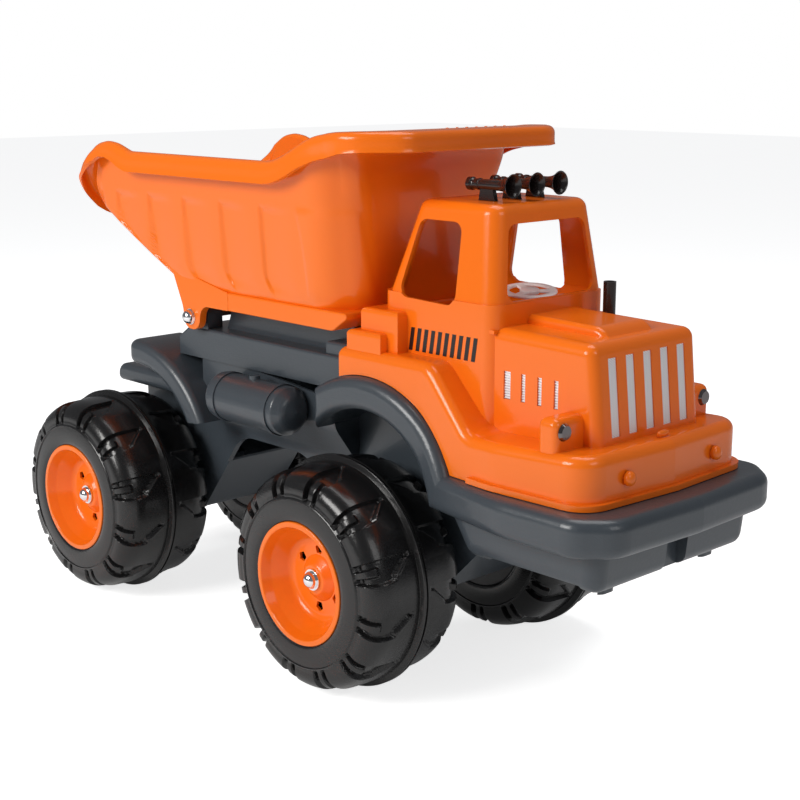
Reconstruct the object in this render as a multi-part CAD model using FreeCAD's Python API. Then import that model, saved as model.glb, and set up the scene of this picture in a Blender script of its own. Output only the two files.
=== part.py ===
import FreeCAD, Part
import math
import os

# Toy dump truck, millimetres.  X is forward, Y is to the left, Z is up.
# Stations are first measured forward from the rear axle; every piece is then
# moved by SHIFT, so that the origin is under the middle of the truck's length.

V = FreeCAD.Vector

# ---- driving dimensions: wheels ----
TYRE_R = 100.0          # the double ring round the middle of each tyre
TREAD_DROP = 5.0        # the tread is this much below the ring
RING_HALF = 3.0         # half the width of the double ring
TYRE_HALF_W = 53.5
TYRE_WALL = 3.0
TRACK_HALF = 106.5      # from the middle of the truck to the middle of a tyre
BEAD_R = 53.0           # hole in the tyre's side
RIM_LIP_R = 52.6
RIM_WALL = 2.6
DISC_OUT = 28.5         # rim disc, outward of the tyre's middle
DISC_R = 35.0
BOSS_R = 13.0
BOSS_OUT = 35.0
HOLE_CIRCLE = 25.0
HOLE_SIZE = 4.6
HOLE_TURNS = (90.0, 147.0, 270.0, 327.0)
HUB_R = 9.0
HUB_WEB = 3.5
AXLE_R = 4.0
RUN_GAP = 0.05          # radial running clearance
FIT_GAP = 0.02          # radial clearance of fixed rods
FACE_GAP = 0.5          # end gap beside anything that turns
WASHER_R = 9.0
WASHER_T = 1.5
NUT_R = 6.6
NUT_H = 9.5

# ---- driving dimensions: chassis ----
WHEELBASE = 347.0
FRONT_REACH = 285.0     # front axle to the bumper's face
BEAM_HALF = 46.0        # between the tyres
WALL = 3.0
BAND_WALL = 4.0
FENDER_HALF = 100.0
FENDER_T = 28.0
ARCH_TUCK = 15.5        # front arch radius is this much under the tyre's
ARCH_AHEAD = 11.0
ARCH_RISE = 54.0
REAR_ARCH_TUCK = 4.0
REAR_ARCH_AHEAD = 28.0
REAR_ARCH_RISE = 34.0
REAR_FENDER_T = 24.0
BUMPER_HALF = 119.0
BUMPER_H = 30.0
BUMPER_RISE = 19.0      # bumper's lower edge above the centre of the front arch
BUMPER_CORNER = 44.0
BELLY_HALF = 97.0
BELLY_DROP = 32.0
BELLY_SETBACK = 25.0
BELLY_NOTCH_HALF = 13.0
BELLY_NOTCH_DEPTH = 8.0
TONGUE_OUT = 63.0
RAIL_HALF = 78.0
RAIL_H = 21.0
RAIL_RISE = 8.0         # rail top above the top of the front fender
RAIL_BACK = 74.0
PLATFORM_HALF = 60.0
PLATFORM_H = 23.0
PLATFORM_BACK = 128.0
PLATFORM_AHEAD = 320.0
TAIL_HALF = 80.0
TAIL_BACK = 34.0
TAIL_H = 18.0
TANK_R = 22.0
TANK_OUT = 92.0
TANK_BACK = 162.0
TANK_LEN = 96.0
TANK_BELOW_RAIL = 54.0

# ---- driving dimensions: bed hinge ----
HINGE_X = 110.0
HINGE_RISE = 12.0       # above the rail top
HINGE_ROD_R = 3.5
HINGE_BLOCK_HALF = 11.0
LUG_IN = 80.5
LUG_T = 8.0
LUG_R = 12.0

# ---- driving dimensions: dump bed ----
BED_HALF_LOW = 84.0
BED_HALF_TOP = 111.0
BED_WALL = 3.2
BED_FRONT = 344.0
BED_TAIL = -22.0
BED_RAMP = 128.0        # the tail ramp starts here at the base
BED_KNEE = 84.0         # and ends at this height
BED_FOOT = 9.0          # size of the sloping foot round the base
BED_TAIL_R = 16.0
BED_HEAD_R = 34.0
BED_SIDE_H = 141.0      # rim top above the bed's base, over the straight stretch
BED_HEAD_H = 167.0      # rim top at the head wall
RIM_FLANGE = 9.0
RIM_DEPTH = 20.0
RIM_T = 3.0
SKIRT_OUT = 4.5
SKIRT_H = 14.0
CANOPY_AHEAD = 405.0
CANOPY_T = 13.0
CANOPY_HALF = 90.0
SEAT_GAP = 0.6          # bed above the platform

# ---- driving dimensions: cab ----
SHELL = 3.0
SEAM_GAP = 0.6          # orange shell above the grey chassis
CAB_HALF_LOW = 69.0
CAB_HALF_TOP = 57.0
CAB_SILL = 70.0         # sill above the fender top
CAB_TOP = 145.5
CAB_STEP = 1.2          # the upper cab is set in this much at the sill
CAB_BACK = 352.0
CAB_FRONT = 480.0
HOOD_HALF = 64.0
HOOD_TOP = 51.0
HOOD_FRONT = 584.0
HOOD_RAKE = 11.0
DECK_TOP = 21.5
DECK_HALF_REAR = 91.0
DECK_HALF_FRONT = 103.0
DECK_FRONT = 604.0
DECK_LOW = 37.0         # front deck above the bumper top
DECK_BACK = 322.0
LIP_OUT = 4.0
LIP_H = 5.0
STEER_X = 455.0
STEER_R = 22.5
STEER_COLUMN_R = 3.4
STEER_BELOW_SILL = -1.5
HORN_LEN = 48.0
HORN_MOUTH_R = 10.0
HORN_PITCH = 28.0
SLOT_PITCH = 21.0
SLOT_W = 10.0
GRILLE_SLOTS = 5
LOUVRE_COUNT = 4
STRIPE_COUNT = 10
STRIPE_PITCH = 7.8
STRIPE_W = 4.0

# ---- places worked out from the driving dimensions ----
Z_AXLE = TYRE_R
X_FRONT = WHEELBASE
NOSE = X_FRONT + FRONT_REACH
SHIFT = -(NOSE - TYRE_R) / 2.0
ARCH_R = TYRE_R - ARCH_TUCK
ARCH_X = X_FRONT + ARCH_AHEAD
ARCH_Z = Z_AXLE + ARCH_RISE
FENDER_R = ARCH_R + FENDER_T
FENDER_TOP = ARCH_Z + FENDER_R
BUMPER_LOW = ARCH_Z + BUMPER_RISE
BUMPER_TOP = BUMPER_LOW + BUMPER_H
JOIN_X = ARCH_X + math.sqrt(FENDER_R ** 2 - (BUMPER_TOP - ARCH_Z) ** 2)
RAIL_TOP = FENDER_TOP + RAIL_RISE
PLATFORM_TOP = RAIL_TOP + PLATFORM_H
HINGE_Z = RAIL_TOP + HINGE_RISE
BED_Z = PLATFORM_TOP + SEAT_GAP
REAR_ARCH_R = TYRE_R - REAR_ARCH_TUCK
REAR_ARCH_Z = Z_AXLE + REAR_ARCH_RISE
TAIL_LOW = Z_AXLE + TYRE_R + WALL
CAB_SHIFT = X_FRONT - 347.0
TREAD_R = TYRE_R - TREAD_DROP


def side(u, v):
    """A point of the side view, in the plane y = 0."""
    return V(u, 0, v)


def front(u, v):
    """A point of the front view, in the plane x = 0."""
    return V(0, u, v)


def plan(u, v):
    """A point of the plan view, in the plane z = 0."""
    return V(u, v, 0)


def rounded(corners, view):
    """Closed face through corners (u, v, radius), straight runs joined by tangent arcs."""
    points = [view(c[0], c[1]) for c in corners]
    enters = []
    leaves = []
    arcs = []
    for i, here in enumerate(points):
        back = (points[i - 1] - here).normalize()
        ahead = (points[(i + 1) % len(points)] - here).normalize()
        radius = corners[i][2]
        half = back.getAngle(ahead) / 2.0
        if radius <= 0:
            enters.append(here)
            leaves.append(here)
            arcs.append(None)
            continue
        run = radius / math.tan(half)
        middle = (back + ahead).normalize() * (radius / math.sin(half) - radius)
        enters.append(here + back * run)
        leaves.append(here + ahead * run)
        arcs.append(Part.Arc(enters[i], here + middle, leaves[i]).toShape())
    edges = []
    for i in range(len(points)):
        if arcs[i]:
            edges.append(arcs[i])
        after = enters[(i + 1) % len(points)]
        if leaves[i].distanceToPoint(after) > 1e-6:
            edges.append(Part.LineSegment(leaves[i], after).toShape())
    return Part.Face(Part.Wire(Part.__sortEdges__(edges)))


def side_slab(corners, y0, y1):
    """Side-view outline carried from y0 to y1."""
    face = rounded(corners, side)
    face.translate(V(0, y0, 0))
    return face.extrude(V(0, y1 - y0, 0))


def front_slab(corners, x0, x1):
    """Front-view outline carried from x0 to x1."""
    face = rounded(corners, front)
    face.translate(V(x0, 0, 0))
    return face.extrude(V(x1 - x0, 0, 0))


def plan_slab(corners, z0, z1):
    """Plan outline carried from z0 to z1."""
    face = rounded(corners, plan)
    face.translate(V(0, 0, z0))
    return face.extrude(V(0, 0, z1 - z0))


def block(x0, x1, y0, y1, z0, z1):
    """Plain box between two corners."""
    return Part.makeBox(x1 - x0, y1 - y0, z1 - z0, V(x0, y0, z0))


def rod(radius, length, start, direction):
    """Round bar from start along direction."""
    return Part.makeCylinder(radius, length, start, direction)


def across(radius, y0, y1, x, z):
    """Round bar along Y."""
    return rod(radius, y1 - y0, V(x, y0, z), V(0, 1, 0))


def turned(corners, start, axis, out):
    """Profile of (distance along axis, radius, corner radius) spun about the axis."""
    face = rounded(corners, lambda u, v: start + axis * u + out * v)
    return face.revolve(start, axis, 360)


def mirrored(shape):
    """The same shape on the other side of the truck."""
    return shape.mirror(V(0, 0, 0), V(0, 1, 0))


def both(shape):
    """A shape and its mirror image as one."""
    return shape.fuse(mirrored(shape))


def soften(shape, radius, keep):
    """Round the edges whose middle point passes the test."""
    edges = [e for e in shape.Edges if keep(e.CenterOfMass, e)]
    return shape.makeFillet(radius, edges)


# ---- chassis ----
def fender_band(half, inset):
    """Front arch and bumper side: ring sector that runs on into the bumper."""
    i = inset
    tip_x = ARCH_X - (FENDER_R - FENDER_T / 2.0) * math.sin(math.radians(38.0))
    outer = across(FENDER_R - i, -half, half, ARCH_X, ARCH_Z)
    outer = outer.common(block(tip_x + i, JOIN_X, -half, half, BUMPER_LOW + i, FENDER_TOP))
    bar = block(ARCH_X + 20.0, NOSE - i, -half, half, BUMPER_LOW + i, BUMPER_TOP - i)
    return outer.fuse(bar).cut(across(ARCH_R + i, -half, half, ARCH_X, ARCH_Z)).removeSplitter()


def bumper_outline(inset):
    """Plan of the fenders and bumper, narrow over the wheels and rounded at the nose."""
    wide = BUMPER_HALF - inset
    narrow = FENDER_HALF - inset
    turn = JOIN_X + 10.0
    nose = NOSE - inset
    corner = BUMPER_CORNER - inset
    half = [(240.0, narrow, 0), (turn - 40.0, narrow, 80.0), (turn + 60.0, wide, 80.0),
            (nose - 30.0, wide, 24.0), (nose - 4.0, wide - corner * 0.55, 30.0), (nose, 0.0, 0)]
    other = [(u, -v, r) for u, v, r in reversed(half[:-1])]
    return plan_slab(half + other, 0.0, FENDER_TOP + 60.0)


def front_fenders():
    """Grey band over the front wheels and round the nose, with soft outer edges."""
    wide = BUMPER_HALF + 20.0
    band = fender_band(wide, 0.0).common(bumper_outline(0.0)).removeSplitter()
    return soften(band, 9.0, lambda c, e: abs(c.y) > FENDER_HALF - 2.0 or c.x > NOSE - 6.0)


def belly_box():
    """Deep tray under the bumper, with a shallow notch in the front and two small tongues."""
    z0 = BUMPER_LOW - BELLY_DROP
    x1 = NOSE - BELLY_SETBACK
    tray = side_slab([(JOIN_X - 6.0, BUMPER_LOW + 4.0, 0), (JOIN_X + 18.0, z0, 14.0),
                      (x1, z0, 10.0), (x1 + 4.0, BUMPER_LOW + 4.0, 0)], -BELLY_HALF, BELLY_HALF)
    tray = soften(tray, 14.0, lambda c, e: c.x > x1 - 2.0 and abs(c.y) > BELLY_HALF - 1.0)
    notch = block(x1 - BELLY_NOTCH_DEPTH, x1 + 20.0, -BELLY_NOTCH_HALF, BELLY_NOTCH_HALF, z0 - 5.0,
                  BUMPER_LOW - 3.0)
    tongue = plan_slab([(x1 - 36.0, TONGUE_OUT - 11.0, 0), (x1 - 13.0, TONGUE_OUT - 11.0, 8.0),
                        (x1 - 13.0, TONGUE_OUT + 11.0, 8.0), (x1 - 36.0, TONGUE_OUT + 11.0, 0)],
                       z0 - 7.0, z0 + 2.0)
    return tray.cut(notch).fuse(both(tongue))


def beam_side(inset):
    """Side view of the narrow beam that carries both axles, arched between them."""
    low = Z_AXLE - 22.0 + inset
    mid = WHEELBASE / 2.0
    arch = ARCH_Z + 14.0 + inset
    top = RAIL_TOP - RAIL_H
    reach = ARCH_R + BAND_WALL / 2.0
    crown = []
    for turn in (15.0, 35.0, 55.0, 75.0, 95.0, 115.0):
        at = math.radians(turn)
        crown.append((ARCH_X + reach * math.cos(at), ARCH_Z + reach * math.sin(at), 0))
    return [(-30.0 + inset, TAIL_LOW + 4.0, 0), (-30.0 + inset, low, 16.0), (62.0 - inset, low, 18.0),
            (mid - 42.0, arch, 36.0), (mid + 62.0, arch, 36.0), (X_FRONT - 62.0 + inset, low, 18.0),
            (X_FRONT + 52.0 - inset, low, 18.0), (JOIN_X + 30.0 - inset, BUMPER_LOW - 4.0, 12.0),
            (JOIN_X + 30.0 - inset, BUMPER_LOW + 6.0, 0)] + crown + [(RAIL_BACK + 20.0, top, 0)]


def mid_body(inset):
    """Hull between the wheels, flared from the beam out to the rails."""
    half = RAIL_HALF - 3.0 - inset
    arch = ARCH_Z + 14.0
    top = RAIL_TOP - RAIL_H + 2.0
    foot = BEAM_HALF + 3.0 - inset
    sole = arch - 40.0 + inset
    hull = front_slab([(-foot, sole, 0), (foot, sole, 0), (foot, arch + 6.0, 20.0),
                       (half, arch + 42.0, 24.0), (half, top, 0), (-half, top, 0),
                       (-half, arch + 42.0, 24.0), (-foot, arch + 6.0, 20.0)],
                      RAIL_BACK + 34.0 + inset, X_FRONT - 48.0 - inset)
    return hull.common(side_slab(beam_side(inset), -half - 5.0, half + 5.0))


def rear_fender():
    """Arched guard over one rear wheel, with its top sloping in to the hull."""
    z = REAR_ARCH_Z
    outer = across(REAR_ARCH_R + REAR_FENDER_T, BEAM_HALF - 6.0, FENDER_HALF, REAR_ARCH_AHEAD, z)
    foot = REAR_ARCH_AHEAD + REAR_ARCH_R + REAR_FENDER_T - 2.0
    crown = REAR_ARCH_AHEAD + REAR_ARCH_R - 22.0
    keep = side_slab([(14.0, z + 40.0, 0), (foot, z + 56.0, 6.0), (crown, z + REAR_ARCH_R + 30.0, 0),
                      (14.0, z + REAR_ARCH_R + 30.0, 0)], 0.0, FENDER_HALF)
    cap = plan_slab([(14.0, BEAM_HALF - 6.0, 0), (160.0, BEAM_HALF - 6.0, 0), (160.0, FENDER_HALF, 0),
                     (14.0, FENDER_HALF, 14.0)], 0.0, FENDER_TOP + 60.0)
    guard = outer.common(keep).common(cap).removeSplitter()
    guard = guard.cut(across(REAR_ARCH_R, 0.0, FENDER_HALF + 1.0, REAR_ARCH_AHEAD, z))
    return soften(guard.removeSplitter(), 8.0,
                  lambda c, e: c.y > FENDER_HALF - 1.0 and e.Length > 40.0)


def tail_plate():
    """Low rounded plate behind the rear fenders."""
    top = TAIL_LOW + TAIL_H
    plate = side_slab([(-TAIL_BACK, TAIL_LOW, 6.0), (RAIL_BACK, TAIL_LOW, 0),
                       (RAIL_BACK, top, 0), (-TAIL_BACK, top, 11.0)], -TAIL_HALF, TAIL_HALF)
    return soften(plate, 6.0, lambda c, e: abs(c.y) > TAIL_HALF - 1.0 and c.x < RAIL_BACK - 1.0)


def rails():
    """Deck rails with a sloping back end, and the bearing blocks for the hinge rod."""
    top = RAIL_TOP
    deck = side_slab([(RAIL_BACK, top - RAIL_H - 8.0, 0), (ARCH_X, top - RAIL_H - 8.0, 0),
                      (ARCH_X, top, 0), (RAIL_BACK + 18.0, top, 3.0), (RAIL_BACK, top - 12.0, 3.0)],
                     -RAIL_HALF, RAIL_HALF)
    deck = soften(deck, 2.5, lambda c, e: abs(c.y) > RAIL_HALF - 1.0 and c.z > top - 13.0)
    high = HINGE_Z + HINGE_BLOCK_HALF
    x0 = HINGE_X - HINGE_BLOCK_HALF
    x1 = HINGE_X + HINGE_BLOCK_HALF
    bearing = side_slab([(x0, top - 2.0, 0), (x1, top - 2.0, 0), (x1, high, 9.0), (x0, high, 9.0)],
                        PLATFORM_HALF, RAIL_HALF - 1.0)
    return deck.fuse(both(bearing))


def platform():
    """Raised middle of the deck that the bed's base rests on, with a stop block each side."""
    rest = side_slab([(PLATFORM_BACK, RAIL_TOP - 3.0, 0), (PLATFORM_AHEAD, RAIL_TOP - 3.0, 0),
                      (PLATFORM_AHEAD, PLATFORM_TOP, 4.0), (PLATFORM_BACK + 10.0, PLATFORM_TOP, 4.0)],
                     -PLATFORM_HALF, PLATFORM_HALF)
    stop = block(PLATFORM_AHEAD - 32.0, PLATFORM_AHEAD - 2.0, PLATFORM_HALF - 4.0, RAIL_HALF - 4.0,
                 RAIL_TOP - 3.0, RAIL_TOP + 11.0)
    stop = soften(stop, 3.0, lambda c, e: c.z > RAIL_TOP + 10.0)
    return rest.fuse(both(stop))


def side_tank():
    """Barrel tank moulded into one side, with two bands, a cap and domed ends."""
    z = RAIL_TOP - TANK_BELOW_RAIL
    start = V(TANK_BACK, TANK_OUT, z)
    barrel = turned([(0.0, 0.0, 0), (TANK_LEN + 12.0, 0.0, 0), (TANK_LEN + 8.0, TANK_R - 7.0, 10.0),
                     (TANK_LEN, TANK_R, 3.0), (0.0, TANK_R, 4.0)], start, V(1, 0, 0), V(0, 1, 0))
    tank = barrel
    for at in (10.0, TANK_LEN - 12.0):
        tank = tank.fuse(rod(TANK_R + 1.2, 5.0, start + V(at, 0, 0), V(1, 0, 0)))
    filler = rod(5.0, 4.0, start + V(TANK_LEN / 2.0, 0, TANK_R - 1.0), V(0, 0, 1))
    web = block(TANK_BACK + 4.0, TANK_BACK + TANK_LEN - 4.0, RAIL_HALF - 14.0, TANK_OUT,
                z - TANK_R * 0.7, z + TANK_R * 0.7)
    return tank.fuse(filler).fuse(web)


def chassis_hollow():
    """Spaces inside the moulding: the sealed one in the bumper, and those open underneath."""
    ring = fender_band(BUMPER_HALF + 20.0, BAND_WALL).common(bumper_outline(BAND_WALL))
    deck_under = PLATFORM_TOP - WALL
    well = mid_body(WALL)
    under = block(RAIL_BACK + 34.0, X_FRONT - 52.0, -BEAM_HALF + WALL, BEAM_HALF - WALL, 0.0,
                  RAIL_TOP - WALL)
    middle = side_slab([(c[0], c[1] - 2.0 * WALL if c[1] < ARCH_Z else c[1], c[2])
                        for c in beam_side(WALL)], -BEAM_HALF + WALL, BEAM_HALF - WALL)
    raised = block(PLATFORM_BACK + 14.0, PLATFORM_AHEAD - WALL, -PLATFORM_HALF + WALL,
                   PLATFORM_HALF - WALL, RAIL_TOP - RAIL_H, deck_under)
    tray = block(JOIN_X + 36.0, NOSE - BELLY_SETBACK - 16.0, -BELLY_HALF + WALL, BELLY_HALF - WALL,
                 BUMPER_LOW - BELLY_DROP - 10.0, BUMPER_TOP - WALL)
    return [ring, well, under, middle, raised, tray]


def axle_bosses():
    """Solid blocks across the hollow beam that hold each axle."""
    bosses = []
    for x in (0.0, X_FRONT):
        bosses.append(block(x - 14.0, x + 14.0, -BEAM_HALF + 1.0, BEAM_HALF - 1.0, Z_AXLE - 14.0,
                            Z_AXLE + 14.0))
    return bosses


def chassis():
    """The grey moulding."""
    beam = side_slab(beam_side(0.0), -BEAM_HALF, BEAM_HALF)
    solid = beam.fuse([mid_body(0.0), front_fenders(), belly_box(), tail_plate(), rails(), platform(),
                       both(rear_fender()), both(side_tank())])
    solid = solid.cut(chassis_hollow())
    solid = solid.fuse(axle_bosses())
    for x in (0.0, X_FRONT):
        solid = solid.cut(across(AXLE_R + FIT_GAP, -BEAM_HALF - 5.0, BEAM_HALF + 5.0, x, Z_AXLE))
    solid = solid.cut(across(HINGE_ROD_R + RUN_GAP, -RAIL_HALF - 2.0, RAIL_HALF + 2.0, HINGE_X, HINGE_Z))
    solid = solid.cut(across(LUG_R + 2.0, LUG_IN - 1.5, LUG_IN + 40.0, HINGE_X, HINGE_Z))
    return solid.cut(across(LUG_R + 2.0, -LUG_IN - 40.0, -LUG_IN + 1.5, HINGE_X, HINGE_Z))


# ---- wheels ----
def wheel_frame(x, hand):
    """Start point and outward axis of a wheel, hand +1 on the left and -1 on the right."""
    return V(x, hand * TRACK_HALF, Z_AXLE), V(0, hand, 0)


def tyre_half(x, hand, way):
    """Hollow half tyre: way +1 is the outer half, -1 the inner."""
    start, axis = wheel_frame(x, hand)
    w = TYRE_HALF_W
    t = TYRE_WALL
    seam = FIT_GAP
    bead = BEAD_R
    outline = [(seam, TREAD_R - t, 0), (seam, TYRE_R, 0), (RING_HALF, TYRE_R, 1.0),
               (RING_HALF + 1.0, TREAD_R, 0.5), (w - 12.0, TREAD_R, 10.0), (w, TREAD_R - 14.0, 8.0),
               (w - 1.0, bead, 1.0), (w - 1.0 - t, bead, 0), (w - t, TREAD_R - 14.0 - t, 6.0),
               (w - 12.0 - t, TREAD_R - t, 7.0)]
    return turned(outline, start, axis * way, V(0, 0, 1))


def hole_cutter(start, axis, turn):
    """Five-sided lightening hole through the rim disc."""
    at = math.radians(turn)
    centre = start + V(HOLE_CIRCLE * math.cos(at), 0, HOLE_CIRCLE * math.sin(at))
    points = []
    for k in range(5):
        at = math.radians(turn + 72.0 * k)
        points.append(centre + V(HOLE_SIZE * math.cos(at), 0, HOLE_SIZE * math.sin(at)))
    points.append(points[0])
    return Part.Face(Part.makePolygon(points)).extrude(axis * (DISC_OUT + 10.0))


def rim(x, hand):
    """Orange dished rim with a raised boss and four holes."""
    start, axis = wheel_frame(x, hand)
    w = TYRE_HALF_W
    t = RIM_WALL
    d = DISC_OUT
    bore = AXLE_R + RUN_GAP
    lip = w - 1.0
    outline = [(d - t, bore, 0), (BOSS_OUT, bore, 0), (BOSS_OUT, BOSS_R, 3.0), (d, BOSS_R + 4.0, 2.0),
               (d, DISC_R, 8.0), (lip - 8.0, RIM_LIP_R - 8.0, 10.0), (lip + 0.4, RIM_LIP_R - 4.5, 1.2),
               (lip, RIM_LIP_R, 1.0), (lip - 10.0, RIM_LIP_R, 1.0), (lip - 10.0, RIM_LIP_R - 3.2, 1.0),
               (d - t, DISC_R + 1.0, 5.0)]
    dish = turned(outline, start, axis, V(0, 0, 1))
    return dish.cut([hole_cutter(start, axis, turn) for turn in HOLE_TURNS])


def hub(x, hand):
    """Black inner hub: a tube on the axle with a disc that carries the inner tyre half."""
    start, axis = wheel_frame(x, hand)
    w = TYRE_HALF_W
    bore = AXLE_R + RUN_GAP
    back = -(w - 2.0)
    outline = [(back, bore, 0), (DISC_OUT - RIM_WALL, bore, 0), (DISC_OUT - RIM_WALL, HUB_R, 0),
               (back + HUB_WEB, HUB_R, 3.0), (back + HUB_WEB, RIM_LIP_R, 1.0), (back, RIM_LIP_R, 1.0)]
    return turned(outline, start, axis, V(0, 0, 1))


def spacers():
    """Bushes on the axles between the chassis and each wheel."""
    length = TRACK_HALF - TYRE_HALF_W + 2.0 - BEAM_HALF - FACE_GAP
    pieces = []
    for x in (0.0, X_FRONT):
        tube = across(HUB_R, BEAM_HALF, BEAM_HALF + length, x, Z_AXLE)
        tube = tube.cut(across(AXLE_R + FIT_GAP, BEAM_HALF - 1.0, BEAM_HALF + length + 1.0, x, Z_AXLE))
        pieces.append(tube)
        pieces.append(mirrored(tube))
    return Part.makeCompound(pieces)


def washer(x, hand):
    """Flat washer outside the rim boss."""
    start, axis = wheel_frame(x, hand)
    base = start + axis * (BOSS_OUT + FACE_GAP)
    ring = rod(WASHER_R, WASHER_T, base, axis)
    return ring.cut(rod(AXLE_R + FIT_GAP, WASHER_T + 2.0, base - axis, axis))


def cap_nut(base, axis, bore_r, depth):
    """Domed nut with a blind bore, standing on base."""
    dome = turned([(0.0, 0.0, 0), (NUT_H, 0.0, 0), (NUT_H - 1.0, NUT_R - 1.5, 4.0), (0.0, NUT_R, 0)],
                  base, axis, V(0, 0, 1))
    return dome.cut(rod(bore_r, depth, base, axis))


def axle_nut(x, hand):
    """Chrome cap on one end of an axle."""
    start, axis = wheel_frame(x, hand)
    base = start + axis * (BOSS_OUT + FACE_GAP + WASHER_T)
    return cap_nut(base, axis, AXLE_R + FIT_GAP, NUT_H - 3.0)


def axle(x):
    """Steel axle from cap to cap."""
    half = TRACK_HALF + BOSS_OUT + FACE_GAP + WASHER_T + NUT_H - 4.0
    return across(AXLE_R, -half, half, x, Z_AXLE)


# ---- dump bed ----
def bed_ring(z, inset):
    """Plan section of the bed's body at height z above its base."""
    spread = (BED_HALF_TOP - BED_HALF_LOW) / BED_SIDE_H
    half = BED_HALF_LOW + spread * z - inset
    climb = min(z, BED_KNEE) / BED_KNEE
    tail = BED_RAMP + (BED_TAIL - BED_RAMP) * climb + inset * 1.2
    head = BED_FRONT - 18.0 + 18.0 * min(z, BED_SIDE_H) / BED_SIDE_H - inset
    r = BED_HEAD_R - inset
    back = BED_TAIL_R - inset
    face = rounded([(tail, -half, back), (head, -half, r), (head, half, r), (tail, half, back)], plan)
    face.translate(V(0, 0, BED_Z + z))
    return face.OuterWire


def bed_body(inset):
    """Hopper lofted from its base ring up past the rim, with a sloping foot."""
    rings = [bed_ring(inset, inset + BED_FOOT), bed_ring(inset + BED_FOOT, inset),
             bed_ring(BED_KNEE + inset * 0.5, inset), bed_ring(BED_SIDE_H + 50.0 + inset, inset)]
    body = Part.makeLoft(rings, True, True)
    if inset:
        return body
    z = BED_Z + BED_SIDE_H - RIM_T
    head = BED_Z + BED_HEAD_H - RIM_T
    under = side_slab([(BED_TAIL - 40.0, BED_Z - 5.0, 0), (BED_FRONT + 40.0, BED_Z - 5.0, 0),
                       (BED_FRONT + 40.0, head, 0), (BED_FRONT - 54.0, head, 40.0),
                       (BED_FRONT - 98.0, z, 40.0), (BED_TAIL + 30.0, z, 0), (BED_TAIL - 40.0, z, 0)],
                      -BED_HALF_TOP - 50.0, BED_HALF_TOP + 50.0)
    return body.common(under)


def bed_tail_cut():
    """Open mouth of the tail, between the two ears."""
    z = BED_Z + BED_KNEE
    return front_slab([(-BED_HALF_TOP + 14.0, z + 80.0, 0), (-BED_HALF_TOP + 18.0, z, 14.0),
                       (BED_HALF_TOP - 18.0, z, 14.0), (BED_HALF_TOP - 14.0, z + 80.0, 0)],
                      BED_TAIL - 30.0, BED_TAIL + 20.0)


def bed_rim():
    """Turned-over rim: a flange out from the wall with a lip down, along both sides and the tail."""
    z = BED_Z + BED_SIDE_H
    rise = BED_Z + BED_HEAD_H
    out = BED_HALF_TOP + RIM_FLANGE
    centre = [(BED_TAIL - 4.0, z - 62.0, 22.0), (40.0, z - 64.0, 8.0), (44.0, z - RIM_DEPTH, 30.0),
              (BED_FRONT - 84.0, z - RIM_DEPTH, 40.0), (BED_FRONT - 36.0, rise - RIM_DEPTH, 40.0),
              (BED_FRONT + 26.0, rise - CANOPY_T, 0), (BED_FRONT + 26.0, rise, 0),
              (BED_FRONT - 54.0, rise, 40.0), (BED_FRONT - 100.0, z, 40.0), (46.0, z, 20.0),
              (22.0, z + 6.0, 16.0), (BED_TAIL + 14.0, z + 6.0, 24.0)]
    band = side_slab(centre, -out, out)
    groove = side_slab(centre, BED_HALF_TOP + 1.0, out - RIM_T)
    groove.translate(V(0, 0, -RIM_T))
    inner = side_slab([(BED_TAIL - 60.0, z - 100.0, 0), (BED_FRONT + 60.0, z - 100.0, 0),
                       (BED_FRONT + 60.0, rise + 50.0, 0), (BED_TAIL - 60.0, rise + 50.0, 0)],
                      -BED_HALF_TOP + 2.0, BED_HALF_TOP - 2.0)
    return band.cut([inner, groove, mirrored(groove)])


def canopy_plan(inset, z0, z1):
    """Plan of the canopy: as wide as the rim at the back, narrower at the front."""
    x0 = BED_FRONT - 4.0
    wide = BED_HALF_TOP + RIM_FLANGE - inset
    ahead = CANOPY_AHEAD - inset
    half = CANOPY_HALF - inset
    return plan_slab([(x0, -wide, 0), (BED_FRONT + 26.0, -wide, 30.0), (ahead, -half, 14.0 - inset),
                      (ahead, half, 14.0 - inset), (BED_FRONT + 26.0, wide, 30.0), (x0, wide, 0)], z0, z1)


def canopy():
    """Shield that reaches forward over the cab from the head wall, with a lip turned down."""
    rise = BED_Z + BED_HEAD_H
    slab = soften(canopy_plan(0.0, rise - CANOPY_T, rise), 3.0,
                  lambda c, e: c.x > BED_FRONT + 10.0 and abs(c.z - rise) < 0.1)
    under = canopy_plan(BED_WALL, rise - CANOPY_T - 1.0, rise - BED_WALL)
    ahead = block(BED_FRONT + 8.0, CANOPY_AHEAD, -BED_HALF_TOP, BED_HALF_TOP, rise - CANOPY_T - 1.0, rise)
    return slab.cut(under.common(ahead))


def hinge_lug():
    """Ear under the bed's tail that the hinge rod goes through."""
    z = HINGE_Z
    ear = side_slab([(HINGE_X - LUG_R, z + 4.0, 2.0), (HINGE_X - LUG_R, z - LUG_R, LUG_R - 0.5),
                     (HINGE_X + LUG_R, z - LUG_R, LUG_R - 0.5), (HINGE_X + LUG_R + 6.0, z + 12.0, 8.0),
                     (HINGE_X + 56.0, z + 14.0, 4.0), (HINGE_X + 56.0, BED_Z + 26.0, 0),
                     (HINGE_X - 34.0, BED_Z + 26.0, 2.0)], LUG_IN, LUG_IN + LUG_T)
    return ear


def skirt():
    """Flat-edged base that stands out round the foot of the bed."""
    half = BED_HALF_LOW + SKIRT_OUT
    x1 = BED_FRONT - 10.0
    slab = side_slab([(146.0, BED_Z, 0), (x1 - 22.0, BED_Z, 2.0), (x1, BED_Z + SKIRT_H, 2.0),
                      (138.0, BED_Z + SKIRT_H, 0)], -half, half)
    return slab


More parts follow.
